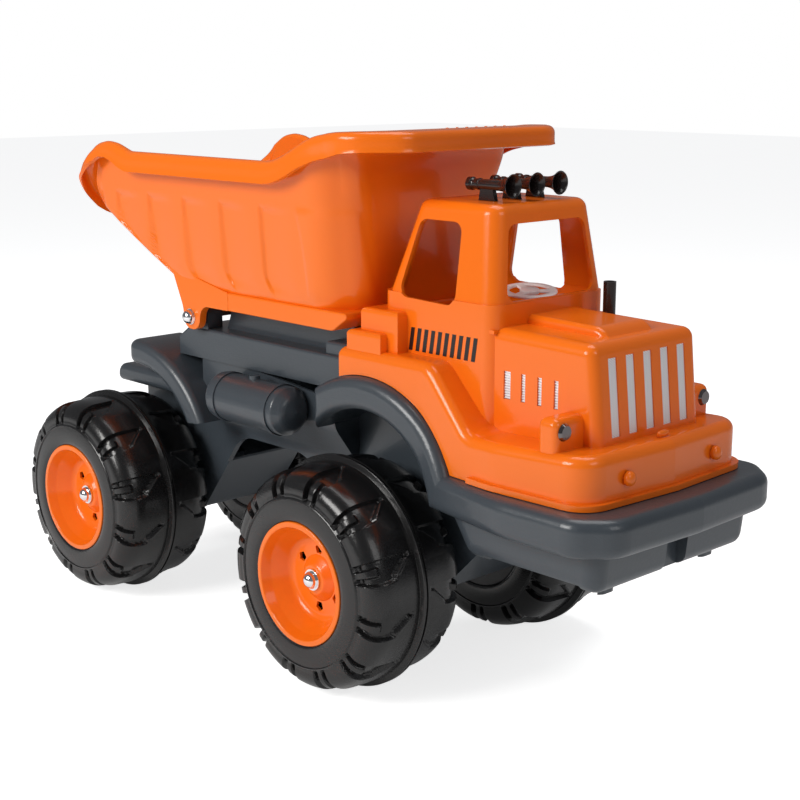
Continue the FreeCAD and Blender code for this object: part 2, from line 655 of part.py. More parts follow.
def dump_bed():
    """The orange bed: hollow body, rim, canopy, base and hinge ears."""
    outer = bed_body(0.0).fuse([skirt(), both(hinge_lug())])
    inner = bed_body(BED_WALL)
    solid = outer.cut(inner).fuse([bed_rim(), canopy()])
    solid = solid.cut([inner, bed_tail_cut()])
    bore = across(HINGE_ROD_R + FIT_GAP, -140.0, 140.0, HINGE_X, HINGE_Z)
    solid = solid.cut(bore)
    swing = across(HINGE_BLOCK_HALF + 9.0, -RAIL_HALF - 1.5, RAIL_HALF + 1.5, HINGE_X, HINGE_Z)
    return solid.cut(swing).removeSplitter()


def hinge_rod():
    """Steel rod through both ears and both bearing blocks."""
    half = LUG_IN + LUG_T + WASHER_T * 0.7 + NUT_H - 4.0
    return across(HINGE_ROD_R, -half, half, HINGE_X, HINGE_Z)


def hinge_washers():
    """Thin washers outside the ears."""
    y = LUG_IN + LUG_T
    ring = across(WASHER_R - 1.5, y, y + WASHER_T * 0.7, HINGE_X, HINGE_Z)
    ring = ring.cut(across(HINGE_ROD_R + FIT_GAP, y - 1.0, y + 4.0, HINGE_X, HINGE_Z))
    return Part.makeCompound([ring, mirrored(ring)])


def hinge_nut(hand):
    """Chrome cap on one end of the hinge rod."""
    base = V(HINGE_X, hand * (LUG_IN + LUG_T + WASHER_T * 0.7), HINGE_Z)
    return cap_nut(base, V(0, hand, 0), HINGE_ROD_R + FIT_GAP, NUT_H - 3.0)


# ---- cab shell ----
def cab_ring(x0, x1, half, radius, z):
    """Rounded rectangle in plan at height z."""
    face = rounded([(x0, -half, radius), (x1, -half, radius), (x1, half, radius), (x0, half, radius)], plan)
    face.translate(V(0, 0, z))
    return face


def cab_block(inset):
    """Upright lower cab, and above the sill an upper cab that narrows to the roof."""
    s = CAB_SHIFT
    z0 = FENDER_TOP - 30.0 - (40.0 if inset else 0.0)
    sill = FENDER_TOP + CAB_SILL
    top = FENDER_TOP + CAB_TOP - inset
    low = CAB_HALF_LOW - inset
    high = CAB_HALF_TOP - inset
    back = CAB_BACK + s + inset
    nose = CAB_FRONT + s - inset
    step = CAB_STEP
    r = 14.0 - inset
    lower = cab_ring(back, nose, low, r, z0).extrude(V(0, 0, sill - z0))
    sections = [cab_ring(back + 4.0, nose - step, low - step, r, sill).OuterWire,
                cab_ring(back + 30.0, nose - 10.0, high, r, top).OuterWire]
    upper = Part.makeLoft(sections, True, True)
    upper = soften(upper, 9.0 - inset, lambda c, e: c.z > top - 0.5)
    return lower.fuse(upper)


def hood_face(z):
    """Station of the hood's raked front face at height z."""
    foot = BUMPER_TOP + 10.0
    return HOOD_FRONT + CAB_SHIFT - HOOD_RAKE * (z - foot) / (FENDER_TOP + HOOD_TOP - foot)


def hood_block(inset):
    """Hood with a raked front, a flat top and a raised middle."""
    s = CAB_SHIFT
    z0 = BUMPER_TOP + 10.0 - (30.0 if inset else 0.0)
    top = FENDER_TOP + HOOD_TOP - inset
    half = HOOD_HALF - inset
    x1 = hood_face(z0) - inset
    x2 = hood_face(top) - inset
    x0 = CAB_FRONT + s - 14.0 + inset
    hood = side_slab([(x0, z0, 0), (x1, z0, 0), (x2, top, 0), (x0, top + 2.0, 0)], -half, half)
    hood = soften(hood, 9.0 - inset, lambda c, e: (c.x > x2 - 2.0 and c.z > z0 + 5.0)
                  or (abs(c.y) > half - 1.0 and c.z > top - 2.0))
    if inset:
        return hood
    ridge = side_slab([(x0, top - 6.0, 0), (x2 - 8.0, top - 6.0, 0), (x2 - 22.0, top + 7.0, 14.0),
                       (x0, top + 9.0, 0)], -30.0, 30.0)
    ridge = soften(ridge, 5.0, lambda c, e: abs(c.y) > 29.0 and c.z > top + 2.0)
    return hood.fuse(ridge)


def deck_plan(inset, grow):
    """Plan of the fender deck: narrow at the back, wide and rounded at the front."""
    rear = DECK_HALF_REAR - inset + grow
    wide = DECK_HALF_FRONT - inset + grow
    x1 = DECK_FRONT + CAB_SHIFT - inset + grow
    x0 = DECK_BACK + CAB_SHIFT + inset - grow
    half = [(x0, rear, 3.0), (JOIN_X - 40.0, rear, 60.0), (JOIN_X + 50.0, wide - 2.0, 60.0),
            (x1 - 6.0, wide - 5.0, 24.0 - inset), (x1, 0.0, 0)]
    other = [(u, -v, r) for u, v, r in reversed(half[:-1])]
    return plan_slab(half + other, 0.0, FENDER_TOP + 80.0)


def deck_block(inset):
    """Deck over the front wheels that drops to the nose behind the bumper."""
    top = FENDER_TOP + DECK_TOP - inset
    low = BUMPER_TOP + DECK_LOW - inset
    foot = JOIN_X + 20.0
    floor = BUMPER_TOP - (20.0 if inset else 0.0)
    x1 = DECK_FRONT + CAB_SHIFT + 20.0
    x0 = DECK_BACK + CAB_SHIFT - 10.0
    body = side_slab([(x0, floor, 0), (x1, floor, 0), (x1, low + 4.0, 0), (foot, low - 2.0, 22.0),
                      (foot - 48.0, top, 22.0), (x0, top, 0)],
                     -DECK_HALF_FRONT - 20.0, DECK_HALF_FRONT + 20.0)
    body = body.common(deck_plan(inset, 0.0)).removeSplitter()
    rear = DECK_HALF_REAR - inset - 3.0
    nose = DECK_FRONT + CAB_SHIFT - inset - 14.0
    return soften(body, 8.0 - inset, lambda c, e: c.z > low - 14.0 and (abs(c.y) > rear or c.x > nose)
                  and not e.BoundBox.ZLength > 40.0
                  or (e.BoundBox.ZLength > 40.0 and abs(c.y) > rear
                      and c.x > foot - 60.0 and c.x < foot + 10.0))


def deck_lip():
    """Turned-out lip along the foot of the deck's front."""
    low = block(JOIN_X + 24.0, NOSE, -200.0, 200.0, BUMPER_TOP, BUMPER_TOP + LIP_H)
    return deck_plan(0.0, LIP_OUT).common(low)


def rear_steps():
    """Stepped boxes beside and behind the cab."""
    s = CAB_SHIFT
    z0 = FENDER_TOP + DECK_TOP - 20.0
    low = soften(block(331.0 + s, 372.0 + s, 58.0, 88.0, z0, FENDER_TOP + 36.5), 4.0,
                 lambda c, e: c.z > FENDER_TOP + 36.0)
    high = soften(block(340.0 + s, 384.0 + s, 40.0, 80.0, z0, FENDER_TOP + 55.0), 4.0,
                  lambda c, e: c.z > FENDER_TOP + 54.0)
    return both(low.fuse(high))


def lamp_pod(hand):
    """Housing of one headlight beside the hood."""
    s = CAB_SHIFT
    z0 = BUMPER_TOP + DECK_LOW - 6.0
    pod = block(548.0 + s, 567.0 + s, HOOD_HALF - 4.0, 95.0, z0, z0 + 32.0)
    pod = soften(pod, 6.0, lambda c, e: c.y > 94.0 or c.z > z0 + 31.0)
    return pod if hand > 0 else mirrored(pod)


def lamp_place(hand):
    """Centre of one headlight lens, on the front of its pod."""
    return V(567.0 + CAB_SHIFT, hand * 86.0, BUMPER_TOP + DECK_LOW + 16.0)


def windows():
    """Windshield, side and rear openings of the cab."""
    s = CAB_SHIFT
    sill = FENDER_TOP + CAB_SILL
    top = FENDER_TOP + CAB_TOP - 15.0
    side_hole = side_slab([(CAB_BACK + 20.0 + s, sill - 3.0, 9.0), (CAB_FRONT - 43.0 + s, sill - 5.0, 9.0),
                           (CAB_FRONT - 44.0 + s, top, 9.0), (CAB_BACK + 38.0 + s, top, 9.0)], -90.0, 90.0)
    shield = front_slab([(-53.0, sill + 1.0, 9.0), (53.0, sill + 1.0, 9.0), (45.0, top, 9.0),
                         (-45.0, top, 9.0)], CAB_FRONT - 30.0 + s, CAB_FRONT + 30.0 + s)
    back = front_slab([(-48.0, sill - 40.0, 9.0), (48.0, sill - 40.0, 9.0), (44.0, top, 9.0),
                       (-44.0, top, 9.0)], CAB_BACK - 30.0 + s, CAB_BACK + 60.0 + s)
    return [side_hole, shield, back]


def grille_boxes(depth0, depth1, grow):
    """Five upright boxes across the hood's front wall."""
    z0 = BUMPER_TOP + DECK_LOW + 7.0
    z1 = FENDER_TOP + HOOD_TOP - 11.0
    foot = hood_face(z0)
    head = hood_face(z1)
    half = SLOT_W / 2.0 + grow
    boxes = []
    for k in range(GRILLE_SLOTS):
        y = (k - (GRILLE_SLOTS - 1) / 2.0) * SLOT_PITCH
        boxes.append(side_slab([(foot + depth0, z0 - grow, 0), (foot + depth1, z0 - grow, 0),
                                (head + depth1, z1 + grow, 0), (head + depth0, z1 + grow, 0)],
                               y - half, y + half))
    return boxes


def louvre_boxes(y0, y1, grow):
    """Upright slots in one side of the hood."""
    s = CAB_SHIFT
    z0 = BUMPER_TOP + DECK_LOW + 25.0
    boxes = []
    for k in range(LOUVRE_COUNT):
        x = 490.0 + s + 16.5 * k
        half = 3.6 if k == 0 else 2.2
        boxes.append(block(x - half - grow, x + half + grow, y0, y1, z0 - grow, z0 + 22.0 + grow))
    return boxes


def dash():
    """Shelf across the cab that holds the steering column."""
    s = CAB_SHIFT
    z = FENDER_TOP + CAB_SILL - 22.0
    half = CAB_HALF_LOW - 2.0
    shelf = block(CAB_FRONT + s - 50.0, CAB_FRONT + s - 1.5, -half, half, z, z + SHELL)
    boss = rod(7.0, 9.0, V(STEER_X + s, 0, z), V(0, 0, 1))
    return shelf.fuse(boss)


def cab_shell():
    """The orange shell: cab, hood, deck, steps and lamp pods in one moulding."""
    s = CAB_SHIFT
    gap = SEAM_GAP
    outer = deck_block(0.0).fuse([cab_block(0.0), hood_block(0.0), rear_steps(), lamp_pod(1), lamp_pod(-1)])
    inner = deck_block(SHELL).fuse([cab_block(SHELL), hood_block(SHELL)])
    studs = []
    for hand in (1, -1):
        studs.append(rod(4.5, 4.0, V(DECK_FRONT + s - 8.0, hand * 55.0, BUMPER_TOP + 22.0), V(1, 0, 0)))
    shell = outer.fuse([deck_lip()] + studs).cut(inner).fuse(dash())
    shell = shell.cut(windows())
    shell = shell.cut(grille_boxes(-12.0, 12.0, 0.0))
    for hand in (1, -1):
        y0, y1 = sorted((hand * (HOOD_HALF - 8.0), hand * (HOOD_HALF + 8.0)))
        shell = shell.cut(louvre_boxes(y0, y1, 0.0))
    socket = V(STEER_X + s, 0, FENDER_TOP + CAB_SILL - 40.0)
    shell = shell.cut(rod(STEER_COLUMN_R + RUN_GAP, 40.0, socket, V(0, 0, 1)))
    shell = shell.cut(block(JOIN_X - 8.0, NOSE, -200.0, 200.0, 0.0, BUMPER_TOP + gap))
    shell = shell.cut(across(FENDER_R + gap, -200.0, 200.0, ARCH_X, ARCH_Z))
    rail = block(DECK_BACK + s - 30.0, ARCH_X + 1.0, -RAIL_HALF - gap, RAIL_HALF + gap, 0.0, RAIL_TOP + gap)
    rest = block(DECK_BACK + s - 30.0, PLATFORM_AHEAD + gap + 2.0, -RAIL_HALF - gap, RAIL_HALF + gap, 0.0,
                 PLATFORM_TOP + 10.0)
    return shell.cut([rail, rest]).removeSplitter()


def steering_column():
    """White post that turns in the dash."""
    z0 = FENDER_TOP + CAB_SILL - 26.0
    return rod(STEER_COLUMN_R, 26.0 - STEER_BELOW_SILL, V(STEER_X + CAB_SHIFT, 0, z0), V(0, 0, 1))


def steering_wheel():
    """White three-spoke wheel lying almost flat."""
    z = FENDER_TOP + CAB_SILL - STEER_BELOW_SILL
    centre = V(STEER_X + CAB_SHIFT, 0, z + 2.2)
    ring = Part.makeTorus(STEER_R - 2.6, 2.6, centre, V(0, 0, 1))
    plate = rod(8.0, 4.2, V(centre.x, 0, z), V(0, 0, 1))
    spokes = []
    for turn in (0.0, 120.0, 240.0):
        bar = block(4.0, STEER_R - 2.6, -3.0, 3.0, 0.8, 3.8)
        bar.rotate(V(0, 0, 0), V(0, 0, 1), turn)
        bar.translate(V(centre.x, 0, z))
        spokes.append(bar)
    return ring.fuse([plate] + spokes)


def horn(k):
    """One roof trumpet on its tab."""
    roof = FENDER_TOP + CAB_TOP
    y = (k - 1) * HORN_PITCH
    z = roof + 12.5
    x1 = 461.0 + CAB_SHIFT
    m = HORN_MOUTH_R
    pipe = turned([(0.0, 0.0, 0), (HORN_LEN - 8.0, 0.0, 3.0), (HORN_LEN, m - 1.2, 0.5), (HORN_LEN, m, 0.4),
                   (HORN_LEN - 12.0, 5.0, 12.0), (0.0, 4.4, 1.0)],
                  V(x1 - HORN_LEN, y, z), V(1, 0, 0), V(0, 0, 1))
    tab = block(x1 - 34.0, x1 - 20.0, y - 2.0, y + 2.0, roof - 0.0, z - 2.0)
    return pipe.fuse(tab)


def exhaust():
    """Upright pipe on the left side of the hood, open at the top."""
    x = 497.0 + CAB_SHIFT
    z0 = FENDER_TOP + HOOD_TOP + 1.9
    pipe = rod(5.2, 27.0, V(x, 50.0, z0), V(0, 0, 1))
    return pipe.cut(rod(3.4, 20.0, V(x, 50.0, z0 + 10.0), V(0, 0, 1)))


def headlight(hand):
    """Faceted lamp on its pod."""
    base = lamp_place(hand)
    return Part.makeCone(6.8, 5.2, 2.4, base, V(1, 0, 0))


def grille_strips():
    """Silver strips behind the grille slots."""
    return Part.makeCompound(grille_boxes(-SHELL - 1.2, -SHELL - 0.2, 1.5))


def vent_strips(hand):
    """Silver ribbed strips behind the louvres of one side."""
    y0, y1 = sorted((hand * (HOOD_HALF - SHELL - 1.2), hand * (HOOD_HALF - SHELL - 0.1)))
    return Part.makeCompound(louvre_boxes(y0, y1, 1.2))


def stripes(hand):
    """Ten slanted black sticker bars on one cab side."""
    s = CAB_SHIFT
    z0 = FENDER_TOP + 24.0
    y0, y1 = sorted((hand * CAB_HALF_LOW, hand * (CAB_HALF_LOW + 0.3)))
    bars = []
    for k in range(STRIPE_COUNT):
        x = 386.0 + s + STRIPE_PITCH * k
        bars.append(side_slab([(x, z0, 0), (x + STRIPE_W, z0, 0), (x + STRIPE_W + 3.0, z0 + 19.0, 0),
                               (x + 3.0, z0 + 19.0, 0)], y0, y1))
    return Part.makeCompound(bars)


def shell_screws():
    """Pan-head screws up through the chassis floor into the cab."""
    pieces = []
    for hand in (1, -1):
        head = rod(4.0, 2.5, V(X_FRONT + 200.0, hand * 60.0, BUMPER_TOP - WALL - 2.5), V(0, 0, 1))
        pieces.append(head)
    return Part.makeCompound(pieces)


def all_pieces():
    """Every node of the truck by name."""
    pieces = {"chassis": chassis(), "cab_shell": cab_shell(), "dump_bed": dump_bed()}
    pieces["hinge_rod"] = hinge_rod()
    pieces["hinge_washers"] = hinge_washers()
    pieces["rear_axle"] = axle(0.0)
    pieces["front_axle"] = axle(X_FRONT)
    pieces["axle_spacers"] = spacers()
    pieces["steering_wheel"] = steering_wheel()
    pieces["steering_column"] = steering_column()
    pieces["exhaust_pipe"] = exhaust()
    pieces["grille_strips"] = grille_strips()
    pieces["shell_screws"] = shell_screws()
    for name, k in (("right", 0), ("middle", 1), ("left", 2)):
        pieces["horn_" + name] = horn(k)
    for name, hand in (("left", 1), ("right", -1)):
        pieces["hinge_nut_" + name] = hinge_nut(hand)
        pieces["headlight_" + name] = headlight(hand)
        pieces["vent_strips_" + name] = vent_strips(hand)
        pieces["stripe_sticker_" + name] = stripes(hand)
        for end, x in (("front", X_FRONT), ("rear", 0.0)):
            corner = end + "_" + name
            pieces["tyre_outer_" + corner] = tyre_half(x, hand, 1)
            pieces["tyre_inner_" + corner] = tyre_half(x, hand, -1)
            pieces["rim_" + corner] = rim(x, hand)
            pieces["hub_" + corner] = hub(x, hand)
            pieces["washer_" + corner] = washer(x, hand)
            pieces["axle_nut_" + corner] = axle_nut(x, hand)
    return pieces


os.makedirs("parts", exist_ok=True)
for node, shape in all_pieces().items():
    shape.translate(V(SHIFT, 0, 0))
    shape.exportStep("parts/" + node + ".step")
    print(node, len(shape.Solids), round(shape.Volume / 1000.0, 1), shape.isValid())
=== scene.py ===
import bpy
import bmesh
import math
import numpy as np
from mathutils import Matrix, Vector


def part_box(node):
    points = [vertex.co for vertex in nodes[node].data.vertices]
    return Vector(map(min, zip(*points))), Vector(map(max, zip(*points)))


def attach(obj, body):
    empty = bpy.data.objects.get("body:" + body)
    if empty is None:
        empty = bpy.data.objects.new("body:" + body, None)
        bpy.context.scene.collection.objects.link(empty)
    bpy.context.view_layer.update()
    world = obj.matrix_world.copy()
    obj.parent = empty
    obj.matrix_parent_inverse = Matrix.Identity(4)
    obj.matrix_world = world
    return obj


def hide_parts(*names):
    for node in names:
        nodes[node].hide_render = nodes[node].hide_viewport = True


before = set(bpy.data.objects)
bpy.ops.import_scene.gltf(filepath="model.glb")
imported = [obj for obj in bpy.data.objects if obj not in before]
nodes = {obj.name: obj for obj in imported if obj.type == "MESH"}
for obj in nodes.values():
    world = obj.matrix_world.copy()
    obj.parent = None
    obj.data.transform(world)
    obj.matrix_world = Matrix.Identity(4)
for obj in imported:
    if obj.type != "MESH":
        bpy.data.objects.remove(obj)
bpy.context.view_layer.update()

# ---- stage ----
# Pale seamless sweep, a big soft key from the truck's right, a weaker one ahead
# and a soft overhead, and a camera at standing height in front of the right wheel.
bpy.context.scene.view_settings.view_transform = "Standard"
camera_data = bpy.data.cameras.new("camera")
camera = bpy.data.objects.new("camera", camera_data)
bpy.context.scene.collection.objects.link(camera)
camera.location = (0.9774, -0.8929, 0.5165)
camera_data.sensor_width = 36.0
camera_data.lens = 66.6
look = Vector((-0.7075, 0.6715, -0.2202))
camera.rotation_mode = "QUATERNION"
camera.rotation_quaternion = look.to_track_quat("-Z", "Y")
bpy.context.scene.camera = camera


def soft_box(name, place, aim, width, height, power, tint):
    """Rectangular light at place that faces aim."""
    data = bpy.data.lights.new(name, "AREA")
    data.shape = "RECTANGLE"
    data.size = width
    data.size_y = height
    data.energy = power
    data.color = tint
    lamp = bpy.data.objects.new(name, data)
    lamp.location = place
    lamp.rotation_mode = "QUATERNION"
    lamp.rotation_quaternion = (Vector(aim) - Vector(place)).to_track_quat("-Z", "Y")
    bpy.context.scene.collection.objects.link(lamp)


soft_box("key", (-0.35, -1.9, 1.25), (0.0, 0.0, 0.2), 1.1, 0.8, 33.0, (1.0, 0.985, 0.96))
soft_box("front", (1.9, -0.2, 1.3), (0.1, 0.0, 0.2), 0.8, 0.8, 5.0, (1.0, 0.99, 0.98))
soft_box("overhead", (0.0, 0.3, 2.1), (0.0, 0.0, 0.0), 1.4, 1.0, 14.0, (1.0, 1.0, 1.0))

world = bpy.data.worlds.new("studio")
bpy.context.scene.world = world
world.use_nodes = True
sky = world.node_tree
sky.nodes.clear()
sky_out = sky.nodes.new("ShaderNodeOutputWorld")
sky_back = sky.nodes.new("ShaderNodeBackground")
sky_mix = sky.nodes.new("ShaderNodeMix")
sky_path = sky.nodes.new("ShaderNodeLightPath")
sky_mix.data_type = "RGBA"
sky_mix.inputs["A"].default_value = (0.17, 0.174, 0.182, 1.0)
sky_mix.inputs["B"].default_value = (1.0, 1.0, 1.0, 1.0)
sky.links.new(sky_path.outputs["Is Camera Ray"], sky_mix.inputs["Factor"])
sky.links.new(sky_mix.outputs["Result"], sky_back.inputs["Color"])
sky.links.new(sky_back.outputs["Background"], sky_out.inputs["Surface"])


def plain_material(name, colour, roughness):
    """Bare Principled material and its shader node."""
    material = bpy.data.materials.new(name)
    material.use_nodes = True
    shader = material.node_tree.nodes["Principled BSDF"]
    shader.inputs["Base Color"].default_value = (*colour, 1.0)
    shader.inputs["Roughness"].default_value = roughness
    return material, shader


paper, paper_shader = plain_material("paper_floor", (0.93, 0.93, 0.93), 0.9)
paper_shader.inputs["Specular IOR Level"].default_value = 0.1
paper_shader.inputs["Emission Color"].default_value = (1.0, 1.0, 1.0, 1.0)
paper_tree = paper.node_tree
paper_path = paper_tree.nodes.new("ShaderNodeLightPath")
paper_glow = paper_tree.nodes.new("ShaderNodeMapRange")
paper_glow.inputs["To Min"].default_value = 0.12
paper_glow.inputs["To Max"].default_value = 0.76
paper_tree.links.new(paper_path.outputs["Is Camera Ray"], paper_glow.inputs["Value"])
paper_tree.links.new(paper_glow.outputs["Result"], paper_shader.inputs["Emission Strength"])
floor_mesh = bpy.data.meshes.new("floor")
floor_mesh.from_pydata([(-9, -9, 0), (9, -9, 0), (9, 9, 0), (-9, 9, 0)], [], [(0, 1, 2, 3)])
floor = bpy.data.objects.new("floor", floor_mesh)
floor.location.z = -0.0004
floor_mesh.materials.append(paper)
bpy.context.scene.collection.objects.link(floor)

# ---- grey chassis ----
# One big blow-moulded hull in slate grey polyethylene: satin skin with a fine
# orange-peel texture and scuffs.  Everything else is pushed or screwed on to it.


def moulding_group():
    """Skin of moulded plastic: slow colour drift, fine flecks, orange peel and hair scratches.

    Drift and flecks are noise at two scales that darken or lighten the colour; the peel is
    fine noise and the scratches are noise stretched along one axis, both fed to a bump."""
    group = bpy.data.node_groups.new("moulded_skin", "ShaderNodeTree")
    face = group.interface
    for name, kind, value in (("Colour", "NodeSocketColor", (0.8, 0.8, 0.8, 1.0)),
                              ("Drift", "NodeSocketFloat", 0.1), ("Rough", "NodeSocketFloat", 0.3),
                              ("Rough Spread", "NodeSocketFloat", 0.08), ("Peel", "NodeSocketFloat", 0.1),
                              ("Scratch", "NodeSocketFloat", 0.1)):
        socket = face.new_socket(name=name, in_out="INPUT", socket_type=kind)
        socket.default_value = value
    face.new_socket(name="Colour", in_out="OUTPUT", socket_type="NodeSocketColor")
    face.new_socket(name="Roughness", in_out="OUTPUT", socket_type="NodeSocketFloat")
    face.new_socket(name="Normal", in_out="OUTPUT", socket_type="NodeSocketVector")
    made = group.nodes
    join = group.links.new
    enter = made.new("NodeGroupInput")
    leave = made.new("NodeGroupOutput")
    place = made.new("ShaderNodeTexCoord").outputs["Object"]

    def noise(scale, detail, vector):
        node = made.new("ShaderNodeTexNoise")
        node.inputs["Scale"].default_value = scale
        node.inputs["Detail"].default_value = detail
        join(vector, node.inputs["Vector"])
        return node.outputs["Fac"]

    def maths(operation, a, b):
        node = made.new("ShaderNodeMath")
        node.operation = operation
        for slot, value in ((0, a), (1, b)):
            if isinstance(value, float):
                node.inputs[slot].default_value = value
            else:
                join(value, node.inputs[slot])
        return node.outputs[0]

    slow = noise(9.0, 3.0, place)
    fleck = noise(420.0, 2.0, place)
    peel = noise(260.0, 2.0, place)
    stretched = made.new("ShaderNodeMapping")
    stretched.inputs["Scale"].default_value = (35.0, 320.0, 320.0)
    stretched.inputs["Rotation"].default_value = (0.3, 0.5, 0.4)
    join(place, stretched.inputs["Vector"])
    hair = noise(3.0, 4.0, stretched.outputs["Vector"])
    mixed = maths("ADD", maths("MULTIPLY", slow, 0.75), maths("MULTIPLY", fleck, 0.25))
    swing = maths("MULTIPLY", maths("SUBTRACT", mixed, 0.5), enter.outputs["Drift"])
    bright = maths("ADD", swing, 1.0)
    tint = made.new("ShaderNodeMix")
    tint.data_type = "RGBA"
    tint.blend_type = "MULTIPLY"
    tint.inputs["Factor"].default_value = 1.0
    grey = made.new("ShaderNodeCombineColor")
    for channel in ("Red", "Green", "Blue"):
        join(bright, grey.inputs[channel])
    join(enter.outputs["Colour"], tint.inputs["A"])
    join(grey.outputs["Color"], tint.inputs["B"])
    join(tint.outputs["Result"], leave.inputs["Colour"])
    worn = maths("SUBTRACT", maths("ADD", slow, maths("MULTIPLY", hair, 0.7)), 0.85)
    rough = maths("ADD", enter.outputs["Rough"],
                  maths("MULTIPLY", worn, enter.outputs["Rough Spread"]))
    join(rough, leave.inputs["Roughness"])
    height = maths("ADD", maths("MULTIPLY", peel, enter.outputs["Peel"]),
                   maths("MULTIPLY", hair, enter.outputs["Scratch"]))
    bump = made.new("ShaderNodeBump")
    bump.inputs["Strength"].default_value = 0.35
    bump.inputs["Distance"].default_value = 0.0006
    join(height, bump.inputs["Height"])
    join(bump.outputs["Normal"], leave.inputs["Normal"])
    return group


skin = moulding_group()


def moulded(name, colour, rough, spread, drift, peel, scratch, coat, metal=0.0, shine=0.5):
    """Moulded plastic or metal in one colour, with its own gloss, peel and scratches."""
    material, shader = plain_material(name, colour, rough)
    shader.inputs["Metallic"].default_value = metal
    shader.inputs["Specular IOR Level"].default_value = shine
    tree = material.node_tree
    node = tree.nodes.new("ShaderNodeGroup")
    node.node_tree = skin
    node.inputs["Colour"].default_value = (*colour, 1.0)
    node.inputs["Drift"].default_value = drift
    node.inputs["Rough"].default_value = rough
    node.inputs["Rough Spread"].default_value = spread
    node.inputs["Peel"].default_value = peel
    node.inputs["Scratch"].default_value = scratch
    tree.links.new(node.outputs["Colour"], shader.inputs["Base Color"])
    tree.links.new(node.outputs["Roughness"], shader.inputs["Roughness"])
    tree.links.new(node.outputs["Normal"], shader.inputs["Normal"])
    shader.inputs["Coat Weight"].default_value = coat
    shader.inputs["Coat Roughness"].default_value = 0.06
    return material


def dress(node, material):
    """Give a carried-over node its finish."""
    mesh = nodes[node].data
    mesh.materials.clear()
    mesh.materials.append(material)


grey_plastic = moulded("grey_plastic", (0.045, 0.055, 0.066), 0.33, 0.14, 0.25, 0.5, 0.6, 0.2)
dress("chassis", grey_plastic)

# ---- axles and bushes ----
# Zinc-plated steel rods through the chassis bosses, with black bushes that keep
# the wheels off the hull.
steel = moulded("steel", (0.55, 0.55, 0.56), 0.32, 0.2, 0.2, 0.3, 0.8, 0.0, 1.0)
black_plastic = moulded("black_plastic", (0.012, 0.012, 0.013), 0.38, 0.1, 0.3, 0.4, 0.3, 0.1)
for name in ("rear_axle", "front_axle", "hinge_rod", "shell_screws"):
    dress(name, steel)
dress("axle_spacers", black_plastic)

# ---- wheels ----
# Each wheel is two blow-moulded black tyre halves clipped over a black inner hub and
# an orange dished rim; a washer and a chrome cap hold it on the axle.
MM = 0.001
TYRE_PERIODS = 12       # lugs round each tyre half
STEPS_PER_PERIOD = 72
POCKET_DEPTH = 4.6
tyre_plastic = moulded("tyre_plastic", (0.0075, 0.0072, 0.0075), 0.25, 0.14, 0.4, 0.4, 0.5, 0.2,
                       0.0, 0.42)
chrome = moulded("chrome_trim", (0.86, 0.86, 0.87), 0.08, 0.06, 0.06, 0.05, 0.15, 0.0, 1.0)
orange_plastic = moulded("orange_plastic", (0.90, 0.168, 0.006), 0.25, 0.05, 0.05, 0.06, 0.04, 0.3,
                         0.0, 0.28)


def smooth_step(value):
    """0 below 0, 1 above 1, and 3t^2 - 2t^3 between."""
    t = np.clip(value, 0.0, 1.0)
    return t * t * (3.0 - 2.0 * t)


def grid_piece(name, points, material, wrap_rows=False, wrap_columns=False, smooth=60.0):
    """Mesh of quads over points (rows, columns, 3) in millimetres, welded, faces outward.

    A wrapped direction joins its last line to its first, so that the seam is closed."""
    rows, columns = points.shape[:2]
    index = np.arange(rows * columns).reshape(rows, columns)
    if wrap_rows:
        index = np.vstack([index, index[:1]])
    if wrap_columns:
        index = np.hstack([index, index[:, :1]])
    quads = np.stack([index[:-1, :-1], index[1:, :-1], index[1:, 1:], index[:-1, 1:]], -1)
    quads = quads.reshape(-1, 4)
    mesh = bpy.data.meshes.new(name)
    mesh.vertices.add(rows * columns)
    mesh.vertices.foreach_set("co", (points.reshape(-1, 3) * MM).astype(np.float32).ravel())
    mesh.loops.add(quads.size)
    mesh.loops.foreach_set("vertex_index", quads.astype(np.int32).ravel())
    mesh.polygons.add(len(quads))
    mesh.polygons.foreach_set("loop_start", np.arange(0, quads.size, 4, dtype=np.int32))
    mesh.update(calc_edges=True)
    return finish_mesh(name, mesh, material, smooth)


def finish_mesh(name, mesh, material, smooth):
    """Weld doubles, turn the faces outward, smooth all but the sharp edges and make the object."""
    work = bmesh.new()
    work.from_mesh(mesh)
    bmesh.ops.remove_doubles(work, verts=work.verts, dist=1e-6)
    bmesh.ops.recalc_face_normals(work, faces=work.faces)
    work.to_mesh(mesh)
    work.free()
    mesh.materials.append(material)
    mesh.polygons.foreach_set("use_smooth", np.ones(len(mesh.polygons), dtype=bool))
    mesh.set_sharp_from_angle(angle=math.radians(smooth))
    piece = bpy.data.objects.new(name, mesh)
    bpy.context.scene.collection.objects.link(piece)
    return piece


